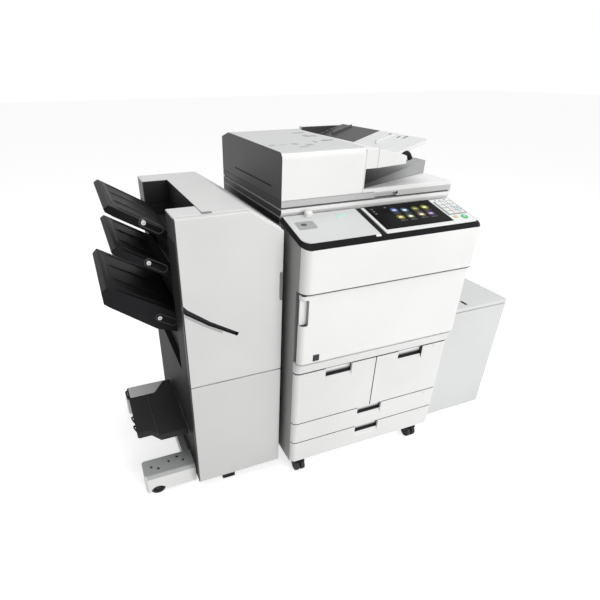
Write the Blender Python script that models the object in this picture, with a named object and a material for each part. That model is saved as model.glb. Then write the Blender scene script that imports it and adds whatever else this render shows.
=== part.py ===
"""Floor-standing office copier: main unit with four paper drawers, document feeder,
side finisher with three sloping output trays and a side paper deck. Metres, +Z up."""
import math

import bmesh
import bpy
from mathutils import Vector

# ---- driving dimensions -------------------------------------------------------------
MAIN_W = 0.670            # main unit width
MAIN_BACK = 0.748         # rear face of the main unit
SKIRT_Z = 0.084           # lower edge of the drawer fronts
SEAM = 0.003              # visible joint between neighbouring front panels
DRAWER_Z = (0.084, 0.181, 0.277, 0.507)     # seam heights of the drawer stack
UPPER_SPLIT_X = 0.338     # joint between the two upper drawers
FRONT_T = 0.022           # thickness of the front panels
DOOR_Y = -0.022           # front face of the door
DOOR_Z = (0.5565, 0.8215)
COVER_Y = -0.030          # front face of the upper cover
COVER_Z = 0.8245          # lower edge of the upper cover
COVER_TOP = 0.9774        # height of its sloping upper edge at y = 0
RIM_LOW = 0.9781          # underside of the black surround at y = 0
SLOPE = 0.25              # rise of the operating surface towards the back
READER_Y = 0.154          # front face of reader and feeder
READER_Z = (0.9995, 1.0500)
FEED_Z = 1.0530           # underside of the document feeder
FEED_BACK = 0.745
FEED_SPLIT_X = 0.2980     # right end of the feeder cover
FIN_X = (-0.3590, -0.0225)
FIN_Y = (0.0720, 0.7165)
FIN_Z = (0.0450, 1.0810)
FIN_SEAM_Z = 0.4990       # joint of the two finisher front panels
TRAY_Y = (0.204, 0.597)
TRAY_RISE = 0.60          # slope of the output trays
TRAY_STEP = 0.126         # height between the two upper output trays
DECK_X = (0.6745, 1.0570)
DECK_Y = (0.0870, 0.7170)
DECK_Z = (0.0300, 0.5750)
WHEEL_R = 0.025
FOOT_WHEEL_R = 0.030
GAP = 0.0004              # clearance between pieces that sit against each other

WHITE = (0.86, 0.86, 0.85)
PALE = (0.72, 0.73, 0.73)
MID = (0.42, 0.43, 0.43)
DARK = (0.06, 0.06, 0.065)
BLACK = (0.012, 0.012, 0.013)
STEEL = (0.55, 0.56, 0.57)
GREEN = (0.05, 0.42, 0.16)


# ---- mesh helpers -------------------------------------------------------------------
def wipe_scene():
    for obj in list(bpy.data.objects):
        bpy.data.objects.remove(obj, do_unlink=True)


def solid(name, verts, faces):
    """One object from vertices and faces, normals outward."""
    mesh = bpy.data.meshes.new(name)
    mesh.from_pydata([tuple(v) for v in verts], [], faces)
    bm = bmesh.new()
    bm.from_mesh(mesh)
    bmesh.ops.recalc_face_normals(bm, faces=bm.faces)
    bm.to_mesh(mesh)
    bm.free()
    obj = bpy.data.objects.new(name, mesh)
    bpy.context.scene.collection.objects.link(obj)
    return obj


def loft(name, rings):
    """Closed solid through rings of equal length, with flat ends."""
    count = len(rings[0])
    verts = [p for ring in rings for p in ring]
    faces = [tuple(range(count))[::-1]]
    faces.append(tuple(range(count * (len(rings) - 1), count * len(rings))))
    for k in range(len(rings) - 1):
        a, b = k * count, (k + 1) * count
        for i in range(count):
            j = (i + 1) % count
            faces.append((a + i, a + j, b + j, b + i))
    return solid(name, verts, faces)


def box(name, x, y, z):
    ring = [(x[0], y[0]), (x[1], y[0]), (x[1], y[1]), (x[0], y[1])]
    return loft(name, [[(p[0], p[1], h) for p in ring] for h in z])


def prism(name, axis, outline, lo, hi):
    """Extrude an outline along an axis: x takes (y, z), y takes (x, z), z takes (x, y)."""
    place = {
        "x": lambda p, t: (t, p[0], p[1]),
        "y": lambda p, t: (p[0], t, p[1]),
        "z": lambda p, t: (p[0], p[1], t),
    }[axis]
    return loft(name, [[place(p, lo) for p in outline], [place(p, hi) for p in outline]])


def rounded(points, radii, steps=5):
    """Outline with each corner rounded by its own radius (0 keeps it sharp)."""
    out = []
    count = len(points)
    for i in range(count):
        here = Vector(points[i])
        r = radii[i] if isinstance(radii, (list, tuple)) else radii
        if r <= 0:
            out.append(tuple(here))
            continue
        a = (Vector(points[i - 1]) - here).normalized()
        b = (Vector(points[(i + 1) % count]) - here).normalized()
        half = math.acos(max(-1.0, min(1.0, a.dot(b)))) / 2
        centre = here + (a + b).normalized() * (r / math.sin(half))
        start = here + a * (r / math.tan(half))
        end = here + b * (r / math.tan(half))
        v0, v1 = start - centre, end - centre
        turn = math.atan2(v0.x * v1.y - v0.y * v1.x, v0.dot(v1))
        for k in range(steps + 1):
            t = turn * k / steps
            c, s = math.cos(t), math.sin(t)
            out.append((centre.x + v0.x * c - v0.y * s, centre.y + v0.x * s + v0.y * c))
    return out


def plan(x, y, left, right, steps=6):
    """Plan outline with rounded front corners."""
    points = [(x[0], y[0]), (x[1], y[0]), (x[1], y[1]), (x[0], y[1])]
    return rounded(points, [left, right, 0, 0], steps)


def cylinder(name, axis, centre, radius, lo, hi, sides=32):
    outline = []
    for i in range(sides):
        t = 2 * math.pi * (i + 0.5) / sides
        outline.append((centre[0] + radius * math.cos(t), centre[1] + radius * math.sin(t)))
    return prism(name, axis, outline, lo, hi)


def apply_modifiers(obj):
    graph = bpy.context.evaluated_depsgraph_get()
    mesh = bpy.data.meshes.new_from_object(obj.evaluated_get(graph))
    obj.modifiers.clear()
    obj.data = mesh


def combine(obj, other, operation):
    """Join or cut with an exact Boolean and remove the helper."""
    mod = obj.modifiers.new(operation, "BOOLEAN")
    mod.operation = operation
    mod.solver = "EXACT"
    mod.object = other
    bpy.context.view_layer.update()
    apply_modifiers(obj)
    bpy.data.objects.remove(other, do_unlink=True)
    return obj


def fuse(obj, *others):
    for other in others:
        combine(obj, other, "UNION")
    return obj


def carve(obj, *others):
    for other in others:
        combine(obj, other, "DIFFERENCE")
    return obj


def soften(obj, width=0.002, segments=2):
    """Round the sharp edges."""
    mod = obj.modifiers.new("round", "BEVEL")
    mod.width = width
    mod.segments = segments
    mod.limit_method = "ANGLE"
    mod.angle_limit = math.radians(40)
    bpy.context.view_layer.update()
    apply_modifiers(obj)
    return obj


def finish(obj, colour, rough=0.5, metal=0.0, origin=None, smooth=True):
    """Own material, smooth shading on round parts, and the origin on the joint axis."""
    mat = bpy.data.materials.new(obj.name + "_mat")
    mat.use_nodes = True
    shader = mat.node_tree.nodes["Principled BSDF"]
    shader.inputs["Base Color"].default_value = (*colour, 1.0)
    shader.inputs["Roughness"].default_value = rough
    shader.inputs["Metallic"].default_value = metal
    obj.data.materials.clear()
    obj.data.materials.append(mat)
    if origin:
        shift = Vector(origin)
        for vert in obj.data.vertices:
            vert.co -= shift
        obj.location = shift
    if smooth:
        for poly in obj.data.polygons:
            poly.use_smooth = True
        obj.data.set_sharp_from_angle(angle=math.radians(32))
    return obj


# ---- main unit ----------------------------------------------------------------------
def body_panels():
    base = box("base_plate", (0.002, 0.668), (0.0245, 0.746), (0.0700, 0.0835))
    finish(soften(base, 0.003), DARK, 0.6)
    edge = [(FRONT_T + 0.0015, SKIRT_Z), (MAIN_BACK, SKIRT_Z), (MAIN_BACK, 0.9990),
            (0.1508, 0.9990), (0.1508, surface_z(0.1508, COVER_TOP)),
            (0.0015, surface_z(0.0015, COVER_TOP)), (0.0015, COVER_Z),
            (FRONT_T + 0.0015, COVER_Z)]
    for name, lo, hi in (("side_left", 0.0, 0.012), ("side_right", MAIN_W - 0.012, MAIN_W)):
        finish(soften(prism(name, "x", edge, lo, hi), 0.002), WHITE, 0.45)
    rear = box("rear_cover", (0.0125, MAIN_W - 0.0125), (0.738, MAIN_BACK), (SKIRT_Z, 0.9990))
    finish(soften(rear), PALE, 0.5)
    shelf = box("mid_shelf", (0.0125, MAIN_W - 0.0125), (0.0235, 0.7375), (0.5095, 0.5195))
    finish(shelf, MID, 0.5, 0.4)
    low = DRAWER_Z[3] + SEAM / 2
    high = DOOR_Z[0] - SEAM
    rings = [
        [(p[0], p[1], low) for p in plan((0.001, 0.669), (0.0, FRONT_T), 0.019, 0.019)],
        [(p[0], p[1], high) for p in plan((0.001, 0.667), (-0.017, FRONT_T), 0.019, 0.019)],
    ]
    finish(loft("front_lip", rings), WHITE, 0.45)


def inner_cover():
    """Cover behind the door, with the round bay of the toner bottle and a lever."""
    cover = box("inner_cover", (0.0125, MAIN_W - 0.0125), (0.0300, 0.0400), (0.5205, 0.8235))
    carve(cover, cylinder("bay", "y", (0.200, 0.735), 0.0500, 0.0, 0.1, 40))
    finish(cover, MID, 0.55)
    bottle = cylinder("toner_bottle", "y", (0.200, 0.735), 0.0480, 0.0240, 0.4600, 36)
    soften(bottle, 0.004)
    grips = box("g1", (0.160, 0.240), (0.0150, 0.0300), (0.729, 0.741))
    fuse(bottle, grips)
    finish(bottle, DARK, 0.4, origin=(0.200, 0.240, 0.735))
    outline = rounded([(0.438, 0.688), (0.510, 0.688), (0.510, 0.712), (0.438, 0.712)], 0.011, 6)
    lever = prism("release_lever", "y", outline, 0.0180, 0.0295)
    finish(soften(lever, 0.0015), GREEN, 0.4, origin=(0.450, 0.024, 0.700))


def upper_cover():
    outline = plan((0.0, MAIN_W), (COVER_Y, 0.0010), 0.030, 0.022, 8)
    cover = loft("upper_front_cover", [[(p[0], p[1], COVER_Z) for p in outline],
                                       [(p[0], p[1], surface_z(p[1], COVER_TOP)) for p in outline]])
    finish(soften(cover, 0.002), WHITE, 0.45)


def drawer(name, x, z, pull_x, pull_z, radii):
    """One paper drawer: a front with a finger recess and a tray with an open top."""
    front = prism(name + "_front", "z", plan(x, (0.0, FRONT_T), *radii), z[0], z[1])
    soften(front, 0.0012)
    cut = [(-0.006, z[1] + 0.01), (0.0165, z[1] + 0.01), (0.0165, pull_z[1]), (0.0080, pull_z[1]),
           (0.0, pull_z[0]), (-0.006, pull_z[0])]
    carve(front, prism("recess", "x", cut, *pull_x))
    origin = ((x[0] + x[1]) / 2, 0.0, z[0])
    finish(front, WHITE, 0.45, origin=origin)
    wall = 0.004
    tray_x = (max(x[0], 0.0135) + 0.004, min(x[1], MAIN_W - 0.0135) - 0.004)
    tray_z = (z[0] + 0.006, z[1] - 0.010)
    tray = box(name + "_tray", tray_x, (FRONT_T + GAP, 0.560), tray_z)
    inner_x = (tray_x[0] + wall, tray_x[1] - wall)
    carve(tray, box("well", inner_x, (FRONT_T + 0.006, 0.552), (tray_z[0] + 0.006, tray_z[1] + 0.02)))
    finish(tray, PALE, 0.5, origin=origin)


def drawers():
    half = SEAM / 2
    upper = (DRAWER_Z[2] + half, DRAWER_Z[3] - half)
    drawer("drawer_1", (0.001, UPPER_SPLIT_X - half), upper, (0.123, 0.233), (0.450, 0.467),
           (0.019, 0.0015))
    drawer("drawer_2", (UPPER_SPLIT_X + half, 0.667), upper, (0.437, 0.549), (0.450, 0.467),
           (0.0015, 0.019))
    drawer("drawer_3", (0.001, 0.667), (DRAWER_Z[1] + half, DRAWER_Z[2] - half),
           (0.284, 0.395), (0.222, 0.240), (0.019, 0.019))
    drawer("drawer_4", (0.001, 0.667), (DRAWER_Z[0], DRAWER_Z[1] - half),
           (0.284, 0.395), (0.125, 0.143), (0.019, 0.019))


def front_door():
    x = (0.001, 0.6645)
    back = DOOR_Y + FRONT_T
    levels = ((DOOR_Z[0], 0.010), (DOOR_Z[0] + 0.004, 0.003), (DOOR_Z[0] + 0.010, 0.0),
              (DOOR_Z[1] - 0.002, 0.0), (DOOR_Z[1], 0.002))
    rings = []
    for z, inset in levels:
        outline = plan((x[0] + inset * 0.3, x[1] - inset * 0.3), (DOOR_Y + inset, back), 0.0185, 0.0185)
        rings.append([(p[0], p[1], z) for p in outline])
    door = loft("front_door", rings)
    grip = rounded([(-0.02, 0.713), (0.027, 0.713), (0.027, 0.806), (-0.02, 0.806)],
                   [0, 0.006, 0.006, 0], 4)
    carve(door, prism("grip", "y", grip, DOOR_Y - 0.02, DOOR_Y + 0.016))
    finish(door, WHITE, 0.45, origin=(0.6640, DOOR_Y, 0.690))
    label = box("door_label", (0.053, 0.077), (DOOR_Y - 0.0009, DOOR_Y - 0.0003), (0.5695, 0.5945))
    finish(label, DARK, 0.4)


def caster(tag, x, y):
    """Twin wheel on one axle, and its swivel: a top plate, a short hood and a web between the discs."""
    axle_y = y - 0.024
    fork = cylinder(tag + "_swivel", "z", (x, y), 0.020, 0.0600, 0.0696, 24)
    web = [(axle_y - 0.012, 0.0140), (axle_y + 0.014, 0.0140), (y + 0.016, 0.0460), (y + 0.016, 0.0620),
           (axle_y - 0.008, 0.0620), (axle_y - 0.016, 0.0400)]
    block = prism("block", "x", web, x - 0.0025, x + 0.0025)
    carve(block, cylinder("eye", "x", (axle_y, WHEEL_R), 0.0090, x - 0.02, x + 0.02, 24))
    hood = [(axle_y - 0.0200, 0.0505), (y + 0.0150, 0.0525), (y + 0.0150, 0.0620), (axle_y - 0.0100, 0.0620),
            (axle_y - 0.0200, 0.0565)]
    fuse(fork, block, prism("hood", "x", hood, x - 0.0190, x + 0.0190))
    finish(fork, BLACK, 0.5, origin=(x, y, 0.065))
    wheel = cylinder(tag + "_wheel", "x", (axle_y, WHEEL_R), WHEEL_R, x - 0.0200, x - 0.0031, 40)
    soften(wheel, 0.0028, 3)
    other = cylinder("disc", "x", (axle_y, WHEEL_R), WHEEL_R, x + 0.0031, x + 0.0200, 40)
    soften(other, 0.0028, 3)
    fuse(wheel, cylinder("axle", "x", (axle_y, WHEEL_R), 0.0080, x - 0.0100, x + 0.0100, 24), other)
    finish(wheel, BLACK, 0.6, origin=(x, axle_y, WHEEL_R))


def surface_z(y, z0):
    return z0 + SLOPE * y


def sloped(name, x, y, under, over):
    """Slab that follows the operating surface; under and over are heights at y = 0."""
    outline = [(y[0], surface_z(y[0], under)), (y[1], surface_z(y[1], under)),
               (y[1], surface_z(y[1], over)), (y[0], surface_z(y[0], over))]
    return prism(name, "x", outline, *x)


def slant(name, outline, under, over):
    """Slab of any plan outline that follows the operating surface."""
    return loft(name, [[(p[0], p[1], surface_z(p[1], z)) for p in outline] for z in (under, over)])


def console():
    """Black surround, pale ledge on the left and the tilting control panel."""
    top = 0.9880
    outer = plan((-0.0045, 0.6740), (-0.0275, 0.1500), 0.038, 0.030, 8)
    inner = plan((0.0030, 0.6680), (-0.0135, 0.1500), 0.031, 0.024, 8)
    rim = loft("console_rim", [[(p[0], p[1], surface_z(p[1], z)) for p in ring]
                               for ring, z in ((outer, RIM_LOW), (outer, 0.9800), (inner, top))])
    carve(rim, sloped("pocket", (0.2915, 0.700), (-0.0121, 0.200), 0.9815, 1.05))
    finish(rim, BLACK, 0.35)
    ledge = slant("console_ledge", plan((0.0050, 0.2700), (-0.0100, 0.1480), 0.030, 0.0015, 8),
                  top + GAP, top + 0.0034)
    finish(soften(ledge, 0.001), PALE, 0.45)
    front = -0.0117
    hinge = (0.4850, front, surface_z(front, 0.9895))
    panel = slant("control_panel", plan((0.2945, 0.6665), (front, 0.1480), 0.0015, 0.024, 8), 0.9820, 0.9895)
    keys = (("start_key", 0.6290, 0.0210, 0.0120, GREEN),
            ("stop_key", 0.5960, 0.0260, 0.0080, (0.7, 0.55, 0.2)))
    tilt = math.atan(SLOPE)
    soften(panel, 0.0012)
    for name, x, y, radius, colour in keys:
        well = cylinder("well", "z", (0.0, 0.0), radius + 0.0005, -0.0062, 0.02, 24)
        place(well, (x, y, surface_z(y, 0.9895)), tilt)
        carve(panel, well)
        key = cylinder(name, "z", (0.0, 0.0), radius, -0.0040, 0.0018, 28)
        soften(key, 0.0008)
        place(key, (x, y, surface_z(y, 0.9895)), tilt)
        finish(key, colour, 0.35, origin=(x, y, surface_z(y, 0.9895)))
    finish(panel, PALE, 0.4, origin=hinge)
    screen = sloped("touch_screen", (0.3055, 0.5710), (0.0065, 0.1475), 0.9895 + GAP, 0.9911)
    finish(screen, BLACK, 0.1, origin=hinge)
    pad = sloped("numeric_keypad", (0.5800, 0.6570), (0.0400, 0.1290), 0.9895 + GAP, 0.9908)
    for row in range(4):
        for col in range(3):
            x = 0.5850 + 0.0235 * col
            y = 0.0455 + 0.0208 * row
            fuse(pad, sloped("key", (x, x + 0.0190), (y, y + 0.0145), 0.9900, 0.9925))
    finish(pad, WHITE, 0.5, origin=hinge)


def place(obj, where, tilt):
    """Turn a helper about X and move it, baked into the mesh."""
    c, s = math.cos(tilt), math.sin(tilt)
    for vert in obj.data.vertices:
        x, y, z = vert.co
        vert.co = (x + where[0], y * c - z * s + where[1], y * s + z * c + where[2])


def reader():
    outline = [(READER_Y, 1.0370), (0.172, READER_Z[0]), (FEED_BACK, READER_Z[0]),
               (FEED_BACK, READER_Z[1]), (READER_Y, READER_Z[1])]
    housing = prism("reader_housing", "x", outline, 0.0, MAIN_W)
    soften(housing, 0.0015)
    carve(housing, box("well", (0.014, MAIN_W - 0.014), (0.186, 0.730), (1.0060, 1.10)))
    finish(housing, WHITE, 0.45)
    glass = box("platen_glass", (0.006, MAIN_W - 0.006), (0.164, 0.738), (1.0504, 1.0522))
    finish(glass, (0.55, 0.62, 0.62), 0.05)
    carriage = box("scan_carriage", (0.020, 0.062), (0.192, 0.724), (1.0110, 1.0460))
    finish(soften(carriage), DARK, 0.5, origin=(0.041, 0.458, 1.028))


# ---- document feeder ----------------------------------------------------------------
def feeder():
    wall = FEED_SPLIT_X + 0.0005
    outline = [(0.0, FEED_Z), (MAIN_W, FEED_Z), (MAIN_W, 1.0860), (0.3020, 1.0860), (0.3020, 1.1500),
               (0.3455, 1.1500), (0.3455, 1.2110), (wall, 1.2110), (wall, 1.0745), (0.0, 1.0745)]
    base = prism("feeder_base", "y", outline, READER_Y, FEED_BACK)
    soften(base, 0.0015)
    fuse(base, box("core", (0.020, 0.255), (0.180, 0.720), (1.0700, 1.1650)))
    notch = box("finger", (0.348, 0.437), (READER_Y - 0.01, READER_Y + 0.012), (1.05, 1.0670))
    carve(base, notch)
    finish(base, WHITE, 0.45, origin=(0.335, FEED_BACK, 1.0560))
    side = rounded([(READER_Y, 1.0752), (FEED_BACK, 1.0752), (FEED_BACK, 1.2030), (0.665, 1.2240),
                    (READER_Y, 1.2175)], [0, 0, 0.006, 0.02, 0.020], 5)
    cover = prism("feeder_cover", "x", side, 0.0, FEED_SPLIT_X)
    soften(cover, 0.0015)
    carve(cover, box("hollow", (0.004, FEED_SPLIT_X - 0.004), (READER_Y + 0.004, FEED_BACK - 0.004),
                     (1.05, 1.1960)))
    finish(cover, WHITE, 0.45, origin=(0.0030, 0.450, 1.0790))
    roller = cylinder("feed_roller", "y", (0.225, 1.1785), 0.0125, 0.330, 0.570, 32)
    finish(roller, DARK, 0.7, origin=(0.225, 0.450, 1.1785))
    plan_view = [(0.3025, 0.163), (0.668, 0.305), (0.668, 0.725), (0.3025, 0.725)]
    rings = []
    for part in (0, 1):
        rings.append([(p[0], p[1], 1.0864 if part == 0 else 1.098 + (p[0] - 0.3025) * 0.093)
                      for p in plan_view])
    finish(soften(loft("eject_tray", rings), 0.0015), MID, 0.5, origin=(0.485, 0.44, 1.0864))


def original_tray():
    """Tray for originals: a hinged root block and a flap that rises to the right."""
    root = [(0.3462, 1.1505), (0.4570, 1.1570), (0.4570, 1.1810), (0.4250, 1.1920), (0.3462, 1.2110)]
    tray = prism("input_tray", "y", root, READER_Y, FEED_BACK - 0.020)
    flap = [(0.4300, 1.1760), (0.5450, 1.2135), (0.5450, 1.2265), (0.4150, 1.1870)]
    rear = [(0.3462, 1.1505), (0.4600, 1.1570), (0.6000, 1.2020), (0.6000, 1.2130), (0.5450, 1.2220),
            (0.3462, 1.2240)]
    fuse(tray, prism("flap", "y", flap, 0.172, FEED_BACK - 0.010))
    fuse(tray, prism("rear", "y", rear, FEED_BACK - 0.021, FEED_BACK))
    finish(tray, WHITE, 0.45, origin=(0.3460, 0.450, 1.2108))
    rise = (1.2265 - 1.1870) / 0.130
    for name, y in (("guide_front", (0.325, 0.333)), ("guide_rear", (0.640, 0.648))):
        x = (0.4500, 0.5400)
        low = [1.1870 + rise * (v - 0.4150) + GAP for v in x]
        outline = [(x[0], low[0]), (x[1], low[1]), (x[1], low[1] + 0.006), (x[0] + 0.02, low[0] + 0.016),
                   (x[0], low[0] + 0.012)]
        guide = prism(name, "y", outline, *y)
        finish(guide, PALE, 0.5, origin=(0.495, sum(y) / 2, low[0]))


# ---- finisher -----------------------------------------------------------------------
def finisher_body():
    back = FRONT_T + FIN_Y[0] - 0.0005
    core = box("finisher_body", (-0.336, -0.0235), (back, FIN_Y[1]), (FIN_Z[0], 0.9550))
    carve(core, box("hollow", (-0.326, -0.0335), (back + 0.010, FIN_Y[1] - 0.010), (0.0, 0.9450)))
    fuse(core, box("crown", (-0.2660, -0.0235), (back, FIN_Y[1]), (0.9500, 1.0010)))
    carve(core, box("attic", (-0.2560, -0.0335), (back + 0.010, FIN_Y[1] - 0.010), (0.9400, 0.9910)))
    for y in ((back, 0.2000), (0.6010, FIN_Y[1])):
        fuse(core, box("cap", (-0.3360, -0.2600), y, (0.9500, 1.0010)))
    side = (FIN_X[0] + 0.0005, -0.3355)
    fuse(core, box("front_post", side, (back, 0.2000), (FIN_Z[0], 1.0010)))
    fuse(core, box("rear_post", side, (0.6010, FIN_Y[1]), (FIN_Z[0], 1.0010)))
    fuse(core, box("low_side", side, (0.1990, 0.6020), (FIN_Z[0], 0.5000)))
    for y in (0.096, 0.650):
        fuse(core, box("pad", (-0.2560, -0.2060), (y, y + 0.040), (0.0, FIN_Z[0] + 0.004)))
        fuse(core, box("tie", (-0.330, -0.030), (y + 0.006, y + 0.034), (FIN_Z[0], FIN_Z[0] + 0.006)))
    finish(core, BLACK, 0.5, origin=(-0.1900, 0.4000, 0.0))


def finisher_top():
    back = FRONT_T + FIN_Y[0] - 0.0005
    outline = [(FIN_X[0], 1.0020), (FIN_X[1], 1.0020), (FIN_X[1], 1.0120), (-0.1310, FIN_Z[1]),
               (FIN_X[0], FIN_Z[1])]
    top = prism("finisher_top", "y", outline, back, FIN_Y[1])
    soften(top, 0.003)
    carve(top, box("well", (-0.400, -0.2670), (0.1830, 0.6000), (0.90, 1.20)))
    carve(top, box("hollow", (-0.255, -0.145), (0.110, 0.700), (0.90, 1.0740)))
    finish(top, WHITE, 0.45)
    low = [(FIN_X[0], FIN_SEAM_Z + 0.0015), (FIN_X[1], FIN_SEAM_Z + 0.0015), (FIN_X[1], 1.0090),
           (-0.1310, 1.0785), (FIN_X[0], 1.0785)]
    door = prism("finisher_door", "y", low, FIN_Y[0], FIN_Y[0] + 0.0205)
    soften(door, 0.004, 3)
    groove = [(-0.3750, 0.8380), (-0.3440, 0.7990), (-0.2750, 0.7450), (-0.1780, 0.6840),
              (-0.1850, 0.6730), (-0.2800, 0.7300), (-0.3520, 0.7830), (-0.3750, 0.8120)]
    carve(door, prism("groove", "y", groove, FIN_Y[0] - 0.01, FIN_Y[0] + 0.0130))
    finish(door, WHITE, 0.45, origin=(FIN_X[1], FIN_Y[0], 0.790))
    panel = box("finisher_lower_cover", FIN_X, (FIN_Y[0], FIN_Y[0] + 0.0205),
                (FIN_Z[0], FIN_SEAM_Z - 0.0015))
    finish(soften(panel, 0.004, 3), WHITE, 0.45)


def output_trays():
    """Three sloping trays; the lowest one is deeper and longer."""
    root = -0.3450
    for index in (0, 1):
        drop = TRAY_STEP * index
        tip_low = 1.0900 - drop
        profile = [(-0.5140, 1.1030 - drop), (-0.5300, 1.0930 - drop), (-0.5270, tip_low - 0.006),
                   (-0.5050, tip_low - 0.022), (root, tip_low - 0.022 - (0.5050 + root) * TRAY_RISE),
                   (root, 1.1030 - drop - (0.5140 + root) * TRAY_RISE)]
        tray_shape("tray_%d" % (index + 1), profile, drop)
    profile = [(-0.5620, 0.8550), (-0.5800, 0.8380), (-0.5785, 0.8000), (-0.5620, 0.7850),
               (-0.4250, 0.6800), (root, 0.6500), (root, 0.8550 - (0.5620 + root) * TRAY_RISE)]
    tray_shape("tray_3", profile, 0.0)


def tray_shape(name, profile, drop):
    tray = prism(name, "y", profile, *TRAY_Y)
    soften(tray, 0.003)
    finish(tray, BLACK, 0.45, origin=(-0.3400, 0.4000, profile[0][1]))


def booklet_tray():
    outline = rounded([(-0.5520, 0.2080), (-0.5000, 0.2080), (-0.4700, 0.1680), (-0.3640, 0.1680),
                       (-0.3640, 0.5150), (-0.5520, 0.5150)], [0.008, 0.01, 0.01, 0, 0, 0.008], 4)
    tray = prism("booklet_tray", "z", outline, 0.2200, 0.2480)
    soften(tray, 0.003)
    finish(tray, DARK, 0.45, origin=(-0.3600, 0.3400, 0.2340))


def stand():
    """Stabiliser of the finisher: two outriggers on wheels, tied by a rail."""
    frame = box("stabiliser", (-0.3920, -0.3660), (0.2000, 0.6300), (0.0400, 0.0950))
    for y, out in (((0.1240, 0.2080), (0.1140, 0.2080)), ((0.6220, 0.7060), (0.6220, 0.7160))):
        rings = []
        for z, (y0, y1) in ((0.0180, out), (0.0880, out), (0.1000, y)):
            outline = rounded([(-0.5580, y0), (-0.3600, y0), (-0.3600, y1), (-0.5580, y1)],
                              [0.012, 0, 0, 0.012], 5)
            rings.append([(p[0], p[1], z) for p in outline])
        foot = loft("foot", rings)
        soften(foot, 0.002)
        carve(foot, box("hollow", (-0.5500, -0.4000), (out[0] + 0.005, out[1] - 0.005), (0.0, 0.0830)))
        carve(foot, cylinder("arch", "y", (-0.5130, 0.0120), FOOT_WHEEL_R + 0.003, 0.100, 0.730, 40))
        fuse(frame, foot)
    finish(frame, PALE, 0.45, origin=(-0.3790, 0.4150, 0.0))
    for tag, y in (("front", 0.1196), ("rear", 0.6904)):
        wheel = cylinder("foot_wheel_" + tag, "y", (-0.5130, FOOT_WHEEL_R), FOOT_WHEEL_R, y, y + 0.020, 40)
        soften(wheel, 0.003)
        finish(wheel, BLACK, 0.6, origin=(-0.5130, y + 0.010, FOOT_WHEEL_R))


# ---- side paper deck ----------------------------------------------------------------
def deck():
    outline = plan(DECK_X, DECK_Y, 0.004, 0.020)
    body = prism("deck_body", "z", outline, DECK_Z[0], 0.5585)
    soften(body, 0.002)
    carve(body, box("hollow", (DECK_X[0] + 0.008, DECK_X[1] - 0.008), (DECK_Y[0] + 0.012, DECK_Y[1] - 0.008),
                    (DECK_Z[0] + 0.012, 0.70)))
    for x in (0.730, 0.970):
        for y in (0.180, 0.600):
            fuse(body, box("pad", (x, x + 0.045), (y, y + 0.045), (0.0, DECK_Z[0] + 0.004)))
    finish(body, PALE, 0.45, origin=(0.8650, 0.4000, 0.0))
    lid = prism("deck_lid", "z", outline, 0.5605, DECK_Z[1])
    soften(lid, 0.004, 3)
    carve(lid, box("well", (0.8440, 0.8560), (0.1130, 0.1480), (0.5665, 0.60)))
    finish(lid, PALE, 0.45, origin=(0.8650, DECK_Y[1], 0.5605))
    key = box("deck_key", (0.8445, 0.8555), (0.1135, 0.1475), (0.5700, 0.5760))
    finish(soften(key, 0.0008), BLACK, 0.4, origin=(0.8500, 0.1305, 0.5700))
    lift = box("deck_lift_plate", (DECK_X[0] + 0.012, DECK_X[1] - 0.012), (DECK_Y[0] + 0.016, DECK_Y[1] - 0.012),
               (0.0480, 0.0510))
    finish(lift, STEEL, 0.4, 0.9, origin=(0.8650, 0.4000, 0.0480))


def centre_on_floor():
    """Move everything so the row origin is the middle of the footprint, on the floor."""
    low = [1e9, 1e9]
    high = [-1e9, -1e9]
    for obj in bpy.data.objects:
        for vert in obj.data.vertices:
            for k in (0, 1):
                low[k] = min(low[k], vert.co[k] + obj.location[k])
                high[k] = max(high[k], vert.co[k] + obj.location[k])
    for obj in bpy.data.objects:
        obj.location.x -= (low[0] + high[0]) / 2
        obj.location.y -= (low[1] + high[1]) / 2


def main():
    wipe_scene()
    body_panels()
    inner_cover()
    upper_cover()
    drawers()
    front_door()
    for tag, x, y in (("caster_fl", 0.052, 0.062), ("caster_fr", 0.603, 0.062),
                      ("caster_rl", 0.068, 0.690), ("caster_rr", 0.603, 0.690)):
        caster(tag, x, y)
    console()
    reader()
    feeder()
    original_tray()
    finisher_body()
    finisher_top()
    output_trays()
    booklet_tray()
    stand()
    deck()
    centre_on_floor()


main()
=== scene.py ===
import math

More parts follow.
